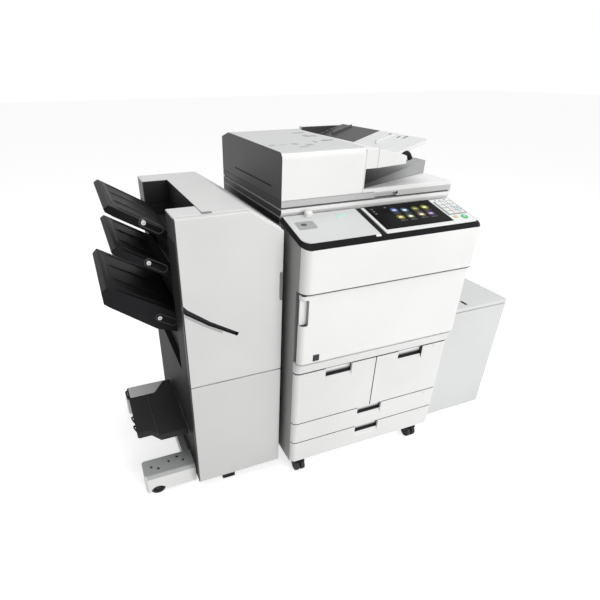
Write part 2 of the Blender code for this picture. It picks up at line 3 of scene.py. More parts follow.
import bpy
import numpy as np
from mathutils import Matrix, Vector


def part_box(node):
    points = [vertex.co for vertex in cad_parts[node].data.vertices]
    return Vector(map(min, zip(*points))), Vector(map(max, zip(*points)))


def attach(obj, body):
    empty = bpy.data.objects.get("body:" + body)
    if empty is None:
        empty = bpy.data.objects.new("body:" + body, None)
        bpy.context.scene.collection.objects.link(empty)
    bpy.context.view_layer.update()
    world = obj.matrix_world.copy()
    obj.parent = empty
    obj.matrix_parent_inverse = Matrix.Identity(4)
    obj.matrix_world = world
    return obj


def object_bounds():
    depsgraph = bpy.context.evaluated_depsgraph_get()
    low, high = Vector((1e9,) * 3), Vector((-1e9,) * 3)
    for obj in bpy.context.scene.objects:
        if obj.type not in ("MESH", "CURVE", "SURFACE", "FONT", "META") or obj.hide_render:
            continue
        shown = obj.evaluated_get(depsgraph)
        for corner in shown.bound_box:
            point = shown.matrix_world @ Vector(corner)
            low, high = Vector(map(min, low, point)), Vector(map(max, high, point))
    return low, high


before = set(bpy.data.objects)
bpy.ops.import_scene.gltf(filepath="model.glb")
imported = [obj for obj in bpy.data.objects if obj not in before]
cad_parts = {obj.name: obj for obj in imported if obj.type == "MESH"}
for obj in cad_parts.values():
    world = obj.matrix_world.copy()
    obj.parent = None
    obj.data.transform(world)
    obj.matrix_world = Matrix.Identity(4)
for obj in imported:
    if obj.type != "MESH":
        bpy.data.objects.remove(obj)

bl_info = {
    "name": "Office Copier Dressing",
    "version": (1, 0, 0),
    "blender": (4, 5, 0),
    "location": "View3D > Sidebar > Copier",
    "description": "Finishes, small fittings and a studio for the floor-standing copier",
    "category": "Object",
}

CAD_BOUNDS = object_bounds()
# Corner that the small fittings are measured from: left side, drawer faces, floor.
CORNER = np.array([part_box("side_left")[0][0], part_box("drawer_1_front")[0][1], 0.0])
SLOPE = 0.25                      # rise of the operating surface
DESK = 0.9895                     # height of the operating surface above the corner
KEY_FIRST = (0.5945, 0.05275)     # middle of the lowest left key of the number pad
KEY_PITCH = (0.0235, 0.0208)      # step from key to key, sideways and back
KEY_TOP = 0.0033                  # numerals above the operating surface
KEY_WEB = 0.9912                  # the pad is web below this level, key above it
TRAY_FALL = 0.60                  # fall of the output trays towards the finisher
SIDE_REACH = 0.0025               # how far in from the left face the painted shade of the left sides reaches
FLOOR_GLOW = 0.64                 # brings the floor that is seen up to white
WORLD_FILL = 0.40                 # strength of the all-round light on surfaces


def at(x, y, z):
    """A point given from the main unit's left front corner on the floor."""
    return CORNER + np.array([x, y, z])


def desk(x, y, lift=0.0):
    """A point on the sloping operating surface."""
    return at(x, y, DESK + SLOPE * y + lift)


# ---- shader helpers -----------------------------------------------------------------
class Wire:
    """A number or colour socket that takes part in arithmetic."""

    def __init__(self, shop, socket):
        self.shop = shop
        self.socket = socket

    def math(self, operation, *others):
        return self.shop.node("ShaderNodeMath", {"operation": operation}, dict(enumerate((self, *others))))

    def __add__(self, other):
        return self.math("ADD", other)

    def __radd__(self, other):
        return self.math("ADD", other)

    def __sub__(self, other):
        return self.math("SUBTRACT", other)

    def __rsub__(self, other):
        return self.shop.node("ShaderNodeMath", {"operation": "SUBTRACT"}, {0: other, 1: self})

    def __mul__(self, other):
        return self.math("MULTIPLY", other)

    def __rmul__(self, other):
        return self.math("MULTIPLY", other)

    def __truediv__(self, other):
        return self.math("DIVIDE", other)

    def __rtruediv__(self, other):
        return self.shop.node("ShaderNodeMath", {"operation": "DIVIDE"}, {0: other, 1: self})

    def over(self, edge):
        return self.math("GREATER_THAN", edge)

    def under(self, edge):
        return self.math("LESS_THAN", edge)

    def within(self, low, high):
        return self.over(low) * self.under(high)

    def absolute(self):
        return self.math("ABSOLUTE")

    def fract(self):
        return self.math("FRACT")

    def lowest(self, other):
        return self.math("MINIMUM", other)

    def highest(self, other):
        return self.math("MAXIMUM", other)

    def ramp(self, low, high):
        """0 below low, 1 above high, smooth between."""
        return self.shop.node("ShaderNodeMapRange", {"interpolation_type": "SMOOTHSTEP"},
                              {"Value": self, "From Min": low, "From Max": high})


class Shop:
    """Builds one node material."""

    def __init__(self, name):
        self.material = bpy.data.materials.new(name)
        self.material.use_nodes = True
        self.tree = self.material.node_tree
        self.tree.nodes.clear()
        self.output = self.tree.nodes.new("ShaderNodeOutputMaterial")
        self.shader = self.tree.nodes.new("ShaderNodeBsdfPrincipled")
        self.tree.links.new(self.shader.outputs[0], self.output.inputs["Surface"])

    def node(self, kind, settings=None, values=None, out=0):
        """One node: its settings first, then the values or links of its sockets."""
        node = self.tree.nodes.new(kind)
        for key, value in (settings or {}).items():
            setattr(node, key, value)
        for key, value in (values or {}).items():
            self.feed(node.inputs[key], value)
        return Wire(self, node.outputs[out])

    def feed(self, socket, value):
        if isinstance(value, Wire):
            self.tree.links.new(value.socket, socket)
        else:
            socket.default_value = value

    def numbers(self, vector):
        """The three numbers of a vector."""
        split = self.tree.nodes.new("ShaderNodeSeparateXYZ")
        self.tree.links.new(vector.socket, split.inputs[0])
        return [Wire(self, split.outputs[k]) for k in range(3)]

    def place(self):
        coords = self.node("ShaderNodeTexCoord", out=3)
        return coords, self.numbers(coords)

    def normal(self):
        """The object's own surface direction, as three numbers."""
        return self.numbers(self.node("ShaderNodeTexCoord", out=1))

    def noise(self, coords, scale, detail=2.0, rough=0.5):
        return self.node("ShaderNodeTexNoise", None,
                         {"Vector": coords, "Scale": scale, "Detail": detail, "Roughness": rough})

    def mix(self, factor, a, b):
        """Colour between a and b."""
        return self.node("ShaderNodeMix", {"data_type": "RGBA"}, {0: factor, 6: rgba(a), 7: rgba(b)}, out=2)

    def done(self, base, rough, bump=None, strength=0.1, distance=0.001, **constants):
        """Feed the shader; constants go straight on its sockets."""
        self.feed(self.shader.inputs["Base Color"], rgba(base))
        self.feed(self.shader.inputs["Roughness"], rough)
        if bump is not None:
            normal = self.node("ShaderNodeBump", None,
                               {"Strength": strength, "Distance": distance, "Height": bump})
            self.feed(self.shader.inputs["Normal"], normal)
        for key, value in constants.items():
            self.feed(self.shader.inputs[key.replace("_", " ")], value)
        return self.material


def rgba(colour):
    if isinstance(colour, Wire):
        return colour
    return (*colour[:3], 1.0)


def shade(colour, k):
    return tuple(min(1.0, c * k) for c in colour[:3])


# ---- finishes -----------------------------------------------------------------------
def moulded(name, colour, rough=0.42, grain=0.06, marks=None, scale=700.0):
    """Textured moulding: fine spark grain, slow tone drift; marks(shop, xyz, n, base) may repaint."""
    shop = Shop(name)
    coords, xyz = shop.place()
    drift = shop.noise(coords, 2.2, 3.0)
    grainy = shop.noise(coords, scale, 2.0, 0.6)
    base = shop.mix(drift.ramp(0.35, 0.65), shade(colour, 0.965), shade(colour, 1.02))
    base = shop.mix(grainy.ramp(0.55, 0.8) * 0.25, base, shade(colour, 0.9))
    if marks:
        base = marks(shop, xyz, shop.normal(), base)
    roughness = rough - 0.04 + drift * 0.10 + grainy * 0.04
    sheen = 0.05 if max(colour[:3]) < 0.12 else 0.35
    return shop.done(base, roughness, grainy, grain, 0.0006, Specular_IOR_Level=sheen)


def sheet_metal(name, colour, rough=0.35, brushed=(1.0, 60.0, 60.0)):
    """Brushed or plated metal: stretched noise for the lay of the brush."""
    shop = Shop(name)
    coords, _ = shop.place()
    mapped = shop.node("ShaderNodeMapping", None, {"Vector": coords, "Scale": tuple(b * 8 for b in brushed)})
    lay = shop.noise(mapped, 3.0, 4.0, 0.6)
    base = shop.mix(lay, shade(colour, 0.82), shade(colour, 1.08))
    shop.shader.inputs["Metallic"].default_value = 1.0
    return shop.done(base, rough - 0.08 + lay * 0.16, lay, 0.08, 0.0004)


def rubber(name, colour=(0.007, 0.007, 0.0075), rough=0.6):
    """Matt rubber with dusty patches."""
    shop = Shop(name)
    coords, _ = shop.place()
    dust = shop.noise(coords, 45.0, 5.0, 0.65)
    fine = shop.noise(coords, 900.0, 2.0)
    base = shop.mix(dust.ramp(0.55, 0.8) * 0.25, colour, (0.05, 0.049, 0.047))
    return shop.done(base, rough + dust * 0.12, fine, 0.12, 0.0005)


WHITE = (0.80, 0.80, 0.795)
PALE = (0.66, 0.67, 0.67)
MID = (0.30, 0.31, 0.31)
# Painted shade for the left sides of the feeder.
LEFT_SIDE_SHADE = (0.040, 0.040, 0.042)
BLACK = (0.010, 0.010, 0.011)
SHADOW = (0.055, 0.056, 0.058)


def painted_left_shade(node, colour, reach):
    """Paint shade on the left side of a piece: a dark band of the given reach from its left face."""
    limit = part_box(node)[0][0] + reach

    def marks(shop, xyz, normal, base):
        return shop.mix(xyz[0].under(limit), base, colour)
    return marks


def panel_edges(node, depth=0.0014, sides=(0, 0), ends=(1, 1), pull=None, grip=None, line=0.0):
    """Paint shade on the edges that form the seams (bottom, top, sides), a painted shade line along the
    bottom, and painted shade and light inside a finger recess.
    """
    low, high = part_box(node)

    def marks(shop, xyz, normal, base):
        front = low[1] + depth
        deep = xyz[1].over(front)
        # Painted shade: up- and down-facing seam edges behind the front skin are painted dark.
        edge = (normal[2].under(-0.6) * ends[0] + normal[2].over(0.6) * ends[1]) * deep
        # Painted shade: a dark strip along the bottom edge, for the shadow line under the part.
        if line:
            edge = edge.highest(xyz[2].under(low[2] + line))
        if sides[0]:
            edge = edge.highest(normal[0].under(-0.6) * deep)
        if sides[1]:
            edge = edge.highest(normal[0].over(0.6) * deep)
        base = shop.mix(edge, base, SHADOW)
        # Painted shade and light in the finger pull: dark at the top of the pocket fading lighter down, a
        # painted lit strip below it, dark painted walls.
        if pull:
            x0, x1 = CORNER[0] + pull[0], CORNER[0] + pull[1]
            inside = (xyz[0].within(x0 - 0.0005, x1 + 0.0005) * xyz[1].over(low[1] + 0.009)
                      * normal[1].under(0.5))
            pocket_shade_ramp = xyz[2].ramp(pull[2] + 0.007, pull[2] + 0.022)
            base = shop.mix(inside * xyz[2].over(pull[2]), base,
                            shop.mix(pocket_shade_ramp, (0.006, 0.006, 0.007), (0.80, 0.80, 0.80)))
            base = shop.mix(inside * xyz[2].under(pull[2]), base, shade(WHITE, 1.1))
            wall = inside * normal[0].absolute().over(0.6) * xyz[1].over(low[1] + 0.0010)
            base = shop.mix(wall, base, (0.03, 0.03, 0.031))
        # Painted shade on the walls of the door grip.
        if grip:
            x1, z0, z1 = CORNER[0] + grip[0], grip[1], grip[2]
            grip_wall_shade = (xyz[0].under(x1 + 0.0006) * xyz[2].within(z0 - 0.0006, z1 + 0.0006)
                     * xyz[1].over(low[1] + 0.0010) * normal[0].under(-0.6).highest(normal[2].under(-0.6)))
            base = shop.mix(grip_wall_shade, base, (0.30, 0.30, 0.30))
        return base
    return marks


def reader_marks(shop, xyz, normal, base):
    """Left side painted black as shade, with two lighter seam lines; painted shade along the top edge for the
    seam under the feeder; grey frame round the glass, kept grey partly as painted shade for that seam.
    """
    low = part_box("reader_housing")[0]
    # Painted shade: the left side is painted black.
    side = xyz[0].under(low[0] + SIDE_REACH)
    lines = xyz[2].within(1.0225, 1.0265).highest(xyz[2].over(1.0462))
    side_shade_colour = shop.mix(lines, BLACK, (0.30, 0.30, 0.305))
    # Painted shade along the top edge, for the seam under the feeder.
    base = shop.mix(xyz[2].over(1.0486), base, shade(SHADOW, 0.4))
    # Top faces grey, partly as painted shade for the seam.
    base = shop.mix(normal[2].over(0.8), base, (0.34, 0.345, 0.345))
    return shop.mix(side, base, side_shade_colour)


def feeder_base_marks(shop, xyz, normal, base):
    """Left end painted dark as shade, greyer front band, painted shade under the finger notch and along the
    foot seam, white underside, painted shade in the mouth of the output.
    """
    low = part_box("feeder_base")[0]
    band_top, foot = 1.0728, 1.0544
    band = xyz[2].under(band_top) * normal[1].under(-0.5)
    base = shop.mix(band, base, (0.50, 0.505, 0.505))
    seam = xyz[2].within(band_top, 1.0752) * normal[1].under(-0.5) * xyz[0].under(CORNER[0] + 0.345)
    base = shop.mix(seam, base, (0.30, 0.30, 0.30))
    notch = (xyz[0].within(CORNER[0] + 0.347, CORNER[0] + 0.438) * xyz[2].under(1.0675)
             * xyz[1].over(low[1] + 0.0012))
    # Painted shade on the underside of the finger notch.
    base = shop.mix(notch * normal[2].under(-0.5), base, SHADOW)
    # Painted shade along the foot seam over the reader.
    base = shop.mix(xyz[2].under(foot), base, shade(SHADOW, 0.6))
    base = shop.mix(normal[2].under(-0.8) * xyz[2].under(foot), base, shade(WHITE, 0.95))
    # Painted shade inside the mouth of the output: its inner end wall and its ceiling.
    inside = xyz[0].within(low[0] + 0.3, low[0] + 0.3035) * normal[0].over(0.5)
    base = shop.mix(inside, base, (0.02, 0.02, 0.021))
    ceiling = normal[2].under(-0.5) * xyz[2].over(1.10)
    base = shop.mix(ceiling, base, (0.05, 0.05, 0.052))
    # Painted shade on the left end.
    return shop.mix(xyz[0].under(low[0] + SIDE_REACH), base, shade(LEFT_SIDE_SHADE, 0.6))


def feeder_cover_marks(shop, xyz, normal, base):
    """Left side painted dark as shade, top faces painted greyer as shade."""
    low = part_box("feeder_cover")[0]
    # Painted shade: top faces greyer.
    base = shop.mix(normal[2].over(0.85), base, (0.56, 0.565, 0.565))
    # Painted shade on the left side.
    side = xyz[0].under(low[0] + SIDE_REACH)
    return shop.mix(side, base, LEFT_SIDE_SHADE)


def eject_marks(shop, xyz, normal, base):
    """Painted shade at the inner end that lightens towards the open end, ribbed like a paper rest."""
    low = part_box("eject_tray")[0]
    # Painted shade: dark at the inner end, lighter towards the open end.
    along = xyz[0].ramp(low[0] + 0.02, low[0] + 0.30)
    rib = ((xyz[1] - low[1]) / 0.027).fract().over(0.72) * normal[2].over(0.5)
    tone = shop.mix(along, (0.030, 0.030, 0.031), (0.34, 0.345, 0.345))
    return shop.mix(rib * (1.0 - along) * 0.8, tone, (0.10, 0.10, 0.102))


def input_marks(shop, xyz, normal, base):
    """Dark sheet well at the back, pale front flap, pale rim along the rear, painted shade on the faces that
    look down.
    """
    low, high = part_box("input_tray")
    limit = ((xyz[0] - low[0]) * 1.5 + (CORNER[1] + 0.335)).lowest(CORNER[1] + 0.445)
    floor = xyz[1].under(high[1] - 0.0230) * normal[2].over(0.3)
    wall = normal[1].under(-0.5) * xyz[1].over(high[1] - 0.030) * xyz[2].under(1.2225)
    well = xyz[1].over(limit) * floor.highest(wall)
    base = shop.mix(normal[2].over(0.3), base, (0.74, 0.745, 0.745))
    # Painted shade on the faces that look down.
    base = shop.mix(normal[2].under(-0.3), base, (0.30, 0.30, 0.30))
    return shop.mix(well, base, (0.034, 0.034, 0.035))


def finisher_top_marks(shop, xyz, normal, base):
    """Painted shade on the walls of the well and on the left side."""
    low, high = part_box("finisher_top")
    # Painted shade inside the well.
    well = (xyz[0].under(low[0] + 0.0935) * xyz[1].within(CORNER[1] + 0.1825, CORNER[1] + 0.6005)
            * xyz[2].under(high[2] - 0.0015))
    base = shop.mix(well, base, BLACK)
    # Painted shade on the left side.
    left_lip_shade = xyz[0].under(low[0] + 0.0030) * xyz[2].under(high[2] - 0.0030)
    return shop.mix(left_lip_shade, base, SHADOW)


def finisher_door_marks(shop, xyz, normal, base):
    """Painted shade: black inside the slanted grip, dark on the seam edges and on the outer edge at the left.
    """
    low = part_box("finisher_door")[0]
    # Painted shade inside the slanted grip.
    groove = xyz[1].over(low[1] + 0.0012) * xyz[1].under(low[1] + 0.0180) * xyz[2].within(0.60, 0.90)
    groove = groove * xyz[0].within(low[0] + 0.004, low[0] + 0.19)
    base = shop.mix(groove, base, (0.006, 0.006, 0.007))
    # Painted shade on the seam edges.
    edge = normal[2].absolute().over(0.6) * xyz[1].over(low[1] + 0.003) * xyz[2].under(0.60)
    base = shop.mix(edge, base, SHADOW)
    # Painted shade on the outer edge at the left.
    return shop.mix(xyz[0].under(low[0] + 0.0035), base, (0.05, 0.05, 0.052))


def stand_marks(shop, xyz, normal, base):
    """Grey non-slip top on the feet, pale sides."""
    top = normal[2].over(0.6) * xyz[2].over(0.05)
    return shop.mix(top, base, (0.46, 0.48, 0.47))


# Each round button of the screen: its middle, its lit colour and the colour of its rim.
SCREEN_BUTTONS = (
    (0.402, 0.109, (0.55, 0.62, 0.95), (0.07, 0.09, 0.22)),
    (0.440, 0.102, (0.75, 0.85, 0.95), (0.05, 0.10, 0.14)),
    (0.484, 0.103, (0.42, 0.44, 0.20), (0.10, 0.10, 0.03)),
    (0.525, 0.105, (0.85, 0.86, 0.45), (0.17, 0.17, 0.03)),
    (0.398, 0.064, (0.80, 0.78, 0.40), (0.16, 0.14, 0.03)),
    (0.437, 0.062, (0.85, 0.88, 0.70), (0.08, 0.08, 0.05)),
    (0.483, 0.065, (0.85, 0.80, 0.72), (0.14, 0.11, 0.05)),
    (0.521, 0.064, (0.50, 0.42, 0.62), (0.08, 0.05, 0.12)),
)


def screen_marks(shop, xyz, normal, base):
    """Dark home screen: two rows of soft round buttons, a few small ones at the left."""
    x, y = xyz[0] - CORNER[0], xyz[1] - CORNER[1]
    drift = shop.noise(shop.node("ShaderNodeTexCoord", out=3), 7.0, 2.0)
    base = shop.mix(drift.ramp(0.4, 0.6), (0.0035, 0.0035, 0.0035), (0.0075, 0.0070, 0.0080))
    border = x.within(0.3125, 0.5640) * y.within(0.0135, 0.1410)
    base = shop.mix(border, (0.002, 0.002, 0.002), base)
    for cx, cy, inner, outer in SCREEN_BUTTONS:
        dx, dy = x - cx, y - cy
        far = (dx * dx + dy * dy).math("SQRT")
        base = shop.mix(1.0 - far.ramp(0.0130, 0.0165), base, outer)
        oval = ((dx * dx) + (dy * dy) * 2.2).math("SQRT")
        base = shop.mix(1.0 - oval.ramp(0.0060, 0.0105), base, inner)
        caption = dx.absolute().under(0.013) * (dy + 0.0205).absolute().under(0.0016)
        base = shop.mix(caption * 0.6, base, (0.20, 0.20, 0.21))
    for cx, cy in ((0.325, 0.128), (0.325, 0.114), (0.325, 0.100), (0.379, 0.131)):
        near = (x - cx).absolute().under(0.0042) * (y - cy).absolute().under(0.0032)
        base = shop.mix(near * 0.8, base, (0.20, 0.205, 0.21))
    return base


def panel_marks(shop, xyz, normal, base):
    """Pale border with a faint darker line near its rim."""
    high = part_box("control_panel")[1]
    line = xyz[0].within(high[0] - 0.0065, high[0] - 0.0045) * normal[2].over(0.5)
    return shop.mix(line, base, (0.44, 0.33, 0.34))


def keypad_marks(shop, xyz, normal, base):
    """Keys paler than the web between them, one key bluish."""
    x, y = xyz[0] - CORNER[0], xyz[1] - CORNER[1]
    local = xyz[2] - y * SLOPE
    base = shop.mix(local.under(KEY_WEB), base, (0.36, 0.37, 0.37))
    blue = x.over(0.6290) * y.within(0.065, 0.082)
    return shop.mix(blue * local.over(KEY_WEB), base, (0.56, 0.68, 0.75))


def rear_marks(count):
    """Two slatted vents, their gaps painted dark as the shade inside them, and nine screw heads on the rear
    cover.
    """
    def marks(shop, xyz, normal, base):
        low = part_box("rear_cover")[0]
        back = normal[1].over(0.5)
        pitch = 0.013
        for bottom, x0, x1 in ((0.62, 0.08, 0.30), (0.30, 0.38, 0.60)):
            zone = xyz[0].within(low[0] + x0, low[0] + x1) * xyz[2].within(bottom, bottom + pitch * count)
            # Painted shade: the gaps between the slats are dark.
            slat = ((xyz[2] - bottom) / pitch).fract().under(0.45)
            base = shop.mix(zone * slat * back, base, (0.03, 0.03, 0.031))
        for x in (0.02, 0.32, 0.62):
            for z in (0.11, 0.52, 0.96):
                dx, dz = xyz[0] - (low[0] + x), xyz[2] - z
                far = (dx * dx + dz * dz).math("SQRT")
                base = shop.mix(far.under(0.0055) * back, base, (0.20, 0.20, 0.20))
                base = shop.mix(far.under(0.0018) * back, base, (0.03, 0.03, 0.03))
        return base
    return marks


def tray_marks(shop, xyz, normal, base):
    """Scuffed black with a slightly greyer wear bloom on faces that paper rubs."""
    coords = shop.node("ShaderNodeTexCoord", out=3)
    mapped = shop.node("ShaderNodeMapping", None, {"Vector": coords, "Scale": (6.0, 90.0, 6.0)})
    rub = shop.noise(mapped, 2.0, 4.0, 0.6)
    return shop.mix(rub.ramp(0.45, 0.8) * 0.35, base, (0.028, 0.028, 0.031))


def glass_finish(name):
    """Faintly green platen glass with smears."""
    shop = Shop(name)
    coords, _ = shop.place()
    smear = shop.noise(coords, 9.0, 3.0)
    base = shop.mix(smear, (0.30, 0.36, 0.35), (0.36, 0.42, 0.41))
    return shop.done(base, 0.04 + smear * 0.05, Transmission_Weight=0.55, IOR=1.5)


def screen_finish(name):
    """Matt dark screen that shows its buttons."""
    shop = Shop(name)
    coords, xyz = shop.place()
    base = screen_marks(shop, xyz, None, None)
    smear = shop.noise(coords, 14.0, 3.0)
    return shop.done(base, 0.22 + smear * 0.08, Specular_IOR_Level=0.03)


def dress(node, material):
    """Give a CAD node its better material."""
    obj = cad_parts[node]
    if not obj.material_slots:
        obj.data.materials.append(material)
    for slot in obj.material_slots:
        slot.material = material


# ---- shapes worked out on grids -----------------------------------------------------
def grid_faces(rows, cols, wrap_rows=False, wrap_cols=False):
    """Quads of a rows by cols grid, as one array."""
    r = np.arange(rows if wrap_rows else rows - 1)
    c = np.arange(cols if wrap_cols else cols - 1)
    rr, cc = np.meshgrid(r, c, indexing="ij")
    nr, nc = (rr + 1) % rows, (cc + 1) % cols
    quads = np.stack([rr * cols + cc, rr * cols + nc, nr * cols + nc, nr * cols + cc], -1)
    return quads.reshape(-1, 4)


def closed_rings(rows, cols):
    """Quads of stacked rings, closed by fans from the two points that follow them."""
    i, n = np.arange(cols), rows * cols
    last = n - cols
    return (grid_faces(rows, cols, wrap_cols=True).tolist()
            + np.stack([np.full(cols, n), (i + 1) % cols, i], -1).tolist()
            + np.stack([np.full(cols, n + 1), last + i, last + (i + 1) % cols], -1).tolist())


def mesh_piece(name, parts, material, body, smooth=35.0):
    """One object from (points, faces) parts; faces may be arrays or lists."""
    points, faces, base = [], [], 0
    for verts, polys in parts:
        points.append(np.asarray(verts, float).reshape(-1, 3))
        faces.extend([tuple(int(i) + base for i in f) for f in polys])
        base += len(points[-1])
    mesh = bpy.data.meshes.new(name)
    mesh.from_pydata(np.concatenate(points).tolist(), [], faces)
    mesh.update()
    mesh.polygons.foreach_set("use_smooth", np.ones(len(mesh.polygons), bool))
    mesh.set_sharp_from_angle(angle=math.radians(smooth))
    obj = bpy.data.objects.new(name, mesh)
    bpy.context.scene.collection.objects.link(obj)
    mesh.materials.append(material)
    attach(obj, body)
    return obj


def pebble(centre, size, axes=None, square=0.35, rows=11, cols=24):
    """Superellipsoid: x = a |cos p|^e |cos t|^e, y = b |cos p|^e |sin t|^e, z = c |sin p|^e, signs kept."""
    axes = np.eye(3) if axes is None else np.asarray(axes, float)
    p = np.linspace(-math.pi / 2, math.pi / 2, rows)[1:-1, None]
    t = np.linspace(0, 2 * math.pi, cols, endpoint=False)[None, :]

    def power(v):
        return np.sign(v) * np.abs(v) ** square
    x = power(np.cos(p)) * power(np.cos(t))
    y = power(np.cos(p)) * power(np.sin(t))
    z = power(np.sin(p)) * np.ones_like(t)
    body = np.stack([x, y, z], -1).reshape(-1, 3)
    local = np.concatenate([body, [[0, 0, -1.0], [0, 0, 1.0]]]) * (np.asarray(size, float) / 2)
    verts = local @ axes + np.asarray(centre, float)
    return verts, closed_rings(rows - 2, cols)


def spun(centre, axis, profile, sides=32):
    """Profile of (radius, height) turned about an axis; its ends are closed by fans."""
    axis = np.asarray(axis, float) / np.linalg.norm(axis)
    side = np.cross(axis, [0, 0, 1.0] if abs(axis[2]) < 0.9 else [1.0, 0, 0])
    side /= np.linalg.norm(side)
    up = np.cross(axis, side)
    prof = np.asarray(profile, float)
    t = np.linspace(0, 2 * math.pi, sides, endpoint=False)
    ring = np.cos(t)[:, None] * side + np.sin(t)[:, None] * up
    verts = (prof[:, None, 0, None] * ring[None] + prof[:, None, 1, None] * axis).reshape(-1, 3)
    ends = np.stack([axis * prof[0, 1], axis * prof[-1, 1]])
    verts = np.concatenate([verts, ends]) + np.asarray(centre, float)
    return verts, closed_rings(len(prof), sides)


def carried(path, section, closed=False, up=(0, 0, 1.0)):
    """Section (across, up) carried along a path; open ends are capped."""
    path = np.asarray(path, float)
    section = np.asarray(section, float)
    if closed:
        ahead = np.roll(path, -1, 0) - np.roll(path, 1, 0)
    else:
        ahead = np.gradient(path, axis=0)
    ahead /= np.linalg.norm(ahead, axis=1)[:, None]
    across = np.cross(ahead, np.asarray(up, float))
    across /= np.linalg.norm(across, axis=1)[:, None]
    lift = np.cross(across, ahead)
    verts = (path[:, None] + section[None, :, 0, None] * across[:, None]
             + section[None, :, 1, None] * lift[:, None])
    count = len(section)
    quads = grid_faces(len(path), count, wrap_rows=closed, wrap_cols=True).tolist()
    if not closed:
        quads.append(list(range(count))[::-1])
        quads.append(list(range((len(path) - 1) * count, len(path) * count)))
    return verts.reshape(-1, 3), [q[::-1] for q in quads]


def round_section(radius, sides=12, flat=1.0):
    """Circle of points, (r cos t, r sin t), squeezed to flat times its height."""
    t = np.linspace(0, 2 * math.pi, sides, endpoint=False)
    return np.stack([np.cos(t) * radius, np.sin(t) * radius * flat], -1)


def straight(a, b, steps=8):
    """Evenly spaced points from a to b."""
    s = np.linspace(0, 1, steps)[:, None]
    return np.asarray(a, float) * (1 - s) + np.asarray(b, float) * s


def desk_axes():
    """Right, back and outward directions of the operating surface."""
    n = np.array([0, -SLOPE, 1.0]) / math.hypot(1, SLOPE)
    return np.array([[1.0, 0, 0], [0, n[2], -n[1]], n])


def digits(name, text, size, origin, right, up, material, body):
    """Plain numerals made a mesh and laid on a surface."""
    curve = bpy.data.curves.new(name, "FONT")
    curve.body = text
    curve.size = size
    curve.extrude = 0.00015
    curve.align_x = "CENTER"
    curve.align_y = "CENTER"
    holder = bpy.data.objects.new(name + "_text", curve)
    bpy.context.scene.collection.objects.link(holder)
    bpy.context.view_layer.update()
    mesh = bpy.data.meshes.new_from_object(holder.evaluated_get(bpy.context.evaluated_depsgraph_get()))
    bpy.data.objects.remove(holder, do_unlink=True)
    right, up = np.asarray(right, float), np.asarray(up, float)
    out = np.cross(right, up)
    count = len(mesh.vertices)
    flat = np.empty(count * 3)
    mesh.vertices.foreach_get("co", flat)
    local = flat.reshape(-1, 3)
    world = np.asarray(origin, float) + local[:, :1] * right + local[:, 1:2] * up + local[:, 2:] * out
    mesh.vertices.foreach_set("co", world.ravel())
    mesh.update()
    obj = bpy.data.objects.new(name, mesh)
    bpy.context.scene.collection.objects.link(obj)
    mesh.materials.clear()
    mesh.materials.append(material)
    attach(obj, body)
    return obj


# ---- settings -----------------------------------------------------------------------
class CopierFinishes(bpy.types.PropertyGroup):
    white: bpy.props.FloatVectorProperty(
        name="Cover white", description="Colour of the main covers", subtype="COLOR",
        size=3, default=WHITE, min=0.0, max=1.0)
    black: bpy.props.FloatVectorProperty(
        name="Tray black", description="Colour of trays and surrounds", subtype="COLOR",
        size=3, default=BLACK, min=0.0, max=1.0)
    pale: bpy.props.FloatVectorProperty(
        name="Deck grey", description="Colour of the deck and the pale inner parts", subtype="COLOR",
        size=3, default=PALE, min=0.0, max=1.0)


class CopierFittings(bpy.types.PropertyGroup):
    rib_height: bpy.props.FloatProperty(
        name="Rib height", description="Height of the ribs on the output trays",
        default=0.0035, min=0.001, max=0.008, unit="LENGTH")
    pin_radius: bpy.props.FloatProperty(
        name="Pin radius", description="Radius of the bright pins on the output trays",
        default=0.0082, min=0.004, max=0.02, unit="LENGTH")
    key_digit: bpy.props.FloatProperty(
        name="Key numeral", description="Height of the numerals on the keys",
        default=0.0085, min=0.003, max=0.02, unit="LENGTH")
    louvres: bpy.props.IntProperty(
        name="Louvres", description="Number of slats in each rear vent", default=12, min=2, max=30)


class CopierStudio(bpy.types.PropertyGroup):
    eye: bpy.props.FloatVectorProperty(
        name="Camera position", description="Camera place from the main unit's corner",
        subtype="XYZ", unit="LENGTH", size=3, default=(-0.5908, -1.1503, 1.4280))
    heading: bpy.props.FloatProperty(
        name="Heading", description="Camera turn to the right of straight ahead",
        subtype="ANGLE", default=math.radians(20.946))
    dip: bpy.props.FloatProperty(
        name="Dip", description="Camera tilt below level", subtype="ANGLE",
        default=math.radians(30.789))
    roll: bpy.props.FloatProperty(
        name="Roll", description="Camera roll", subtype="ANGLE", default=math.radians(0.515))
    lens: bpy.props.FloatProperty(
        name="Lens", description="Focal length in mm", default=26.963, min=10.0, max=200.0)
    shift: bpy.props.FloatVectorProperty(
        name="Shift", description="Lens shift, sideways and up", size=2, default=(0.0755, 0.0643))


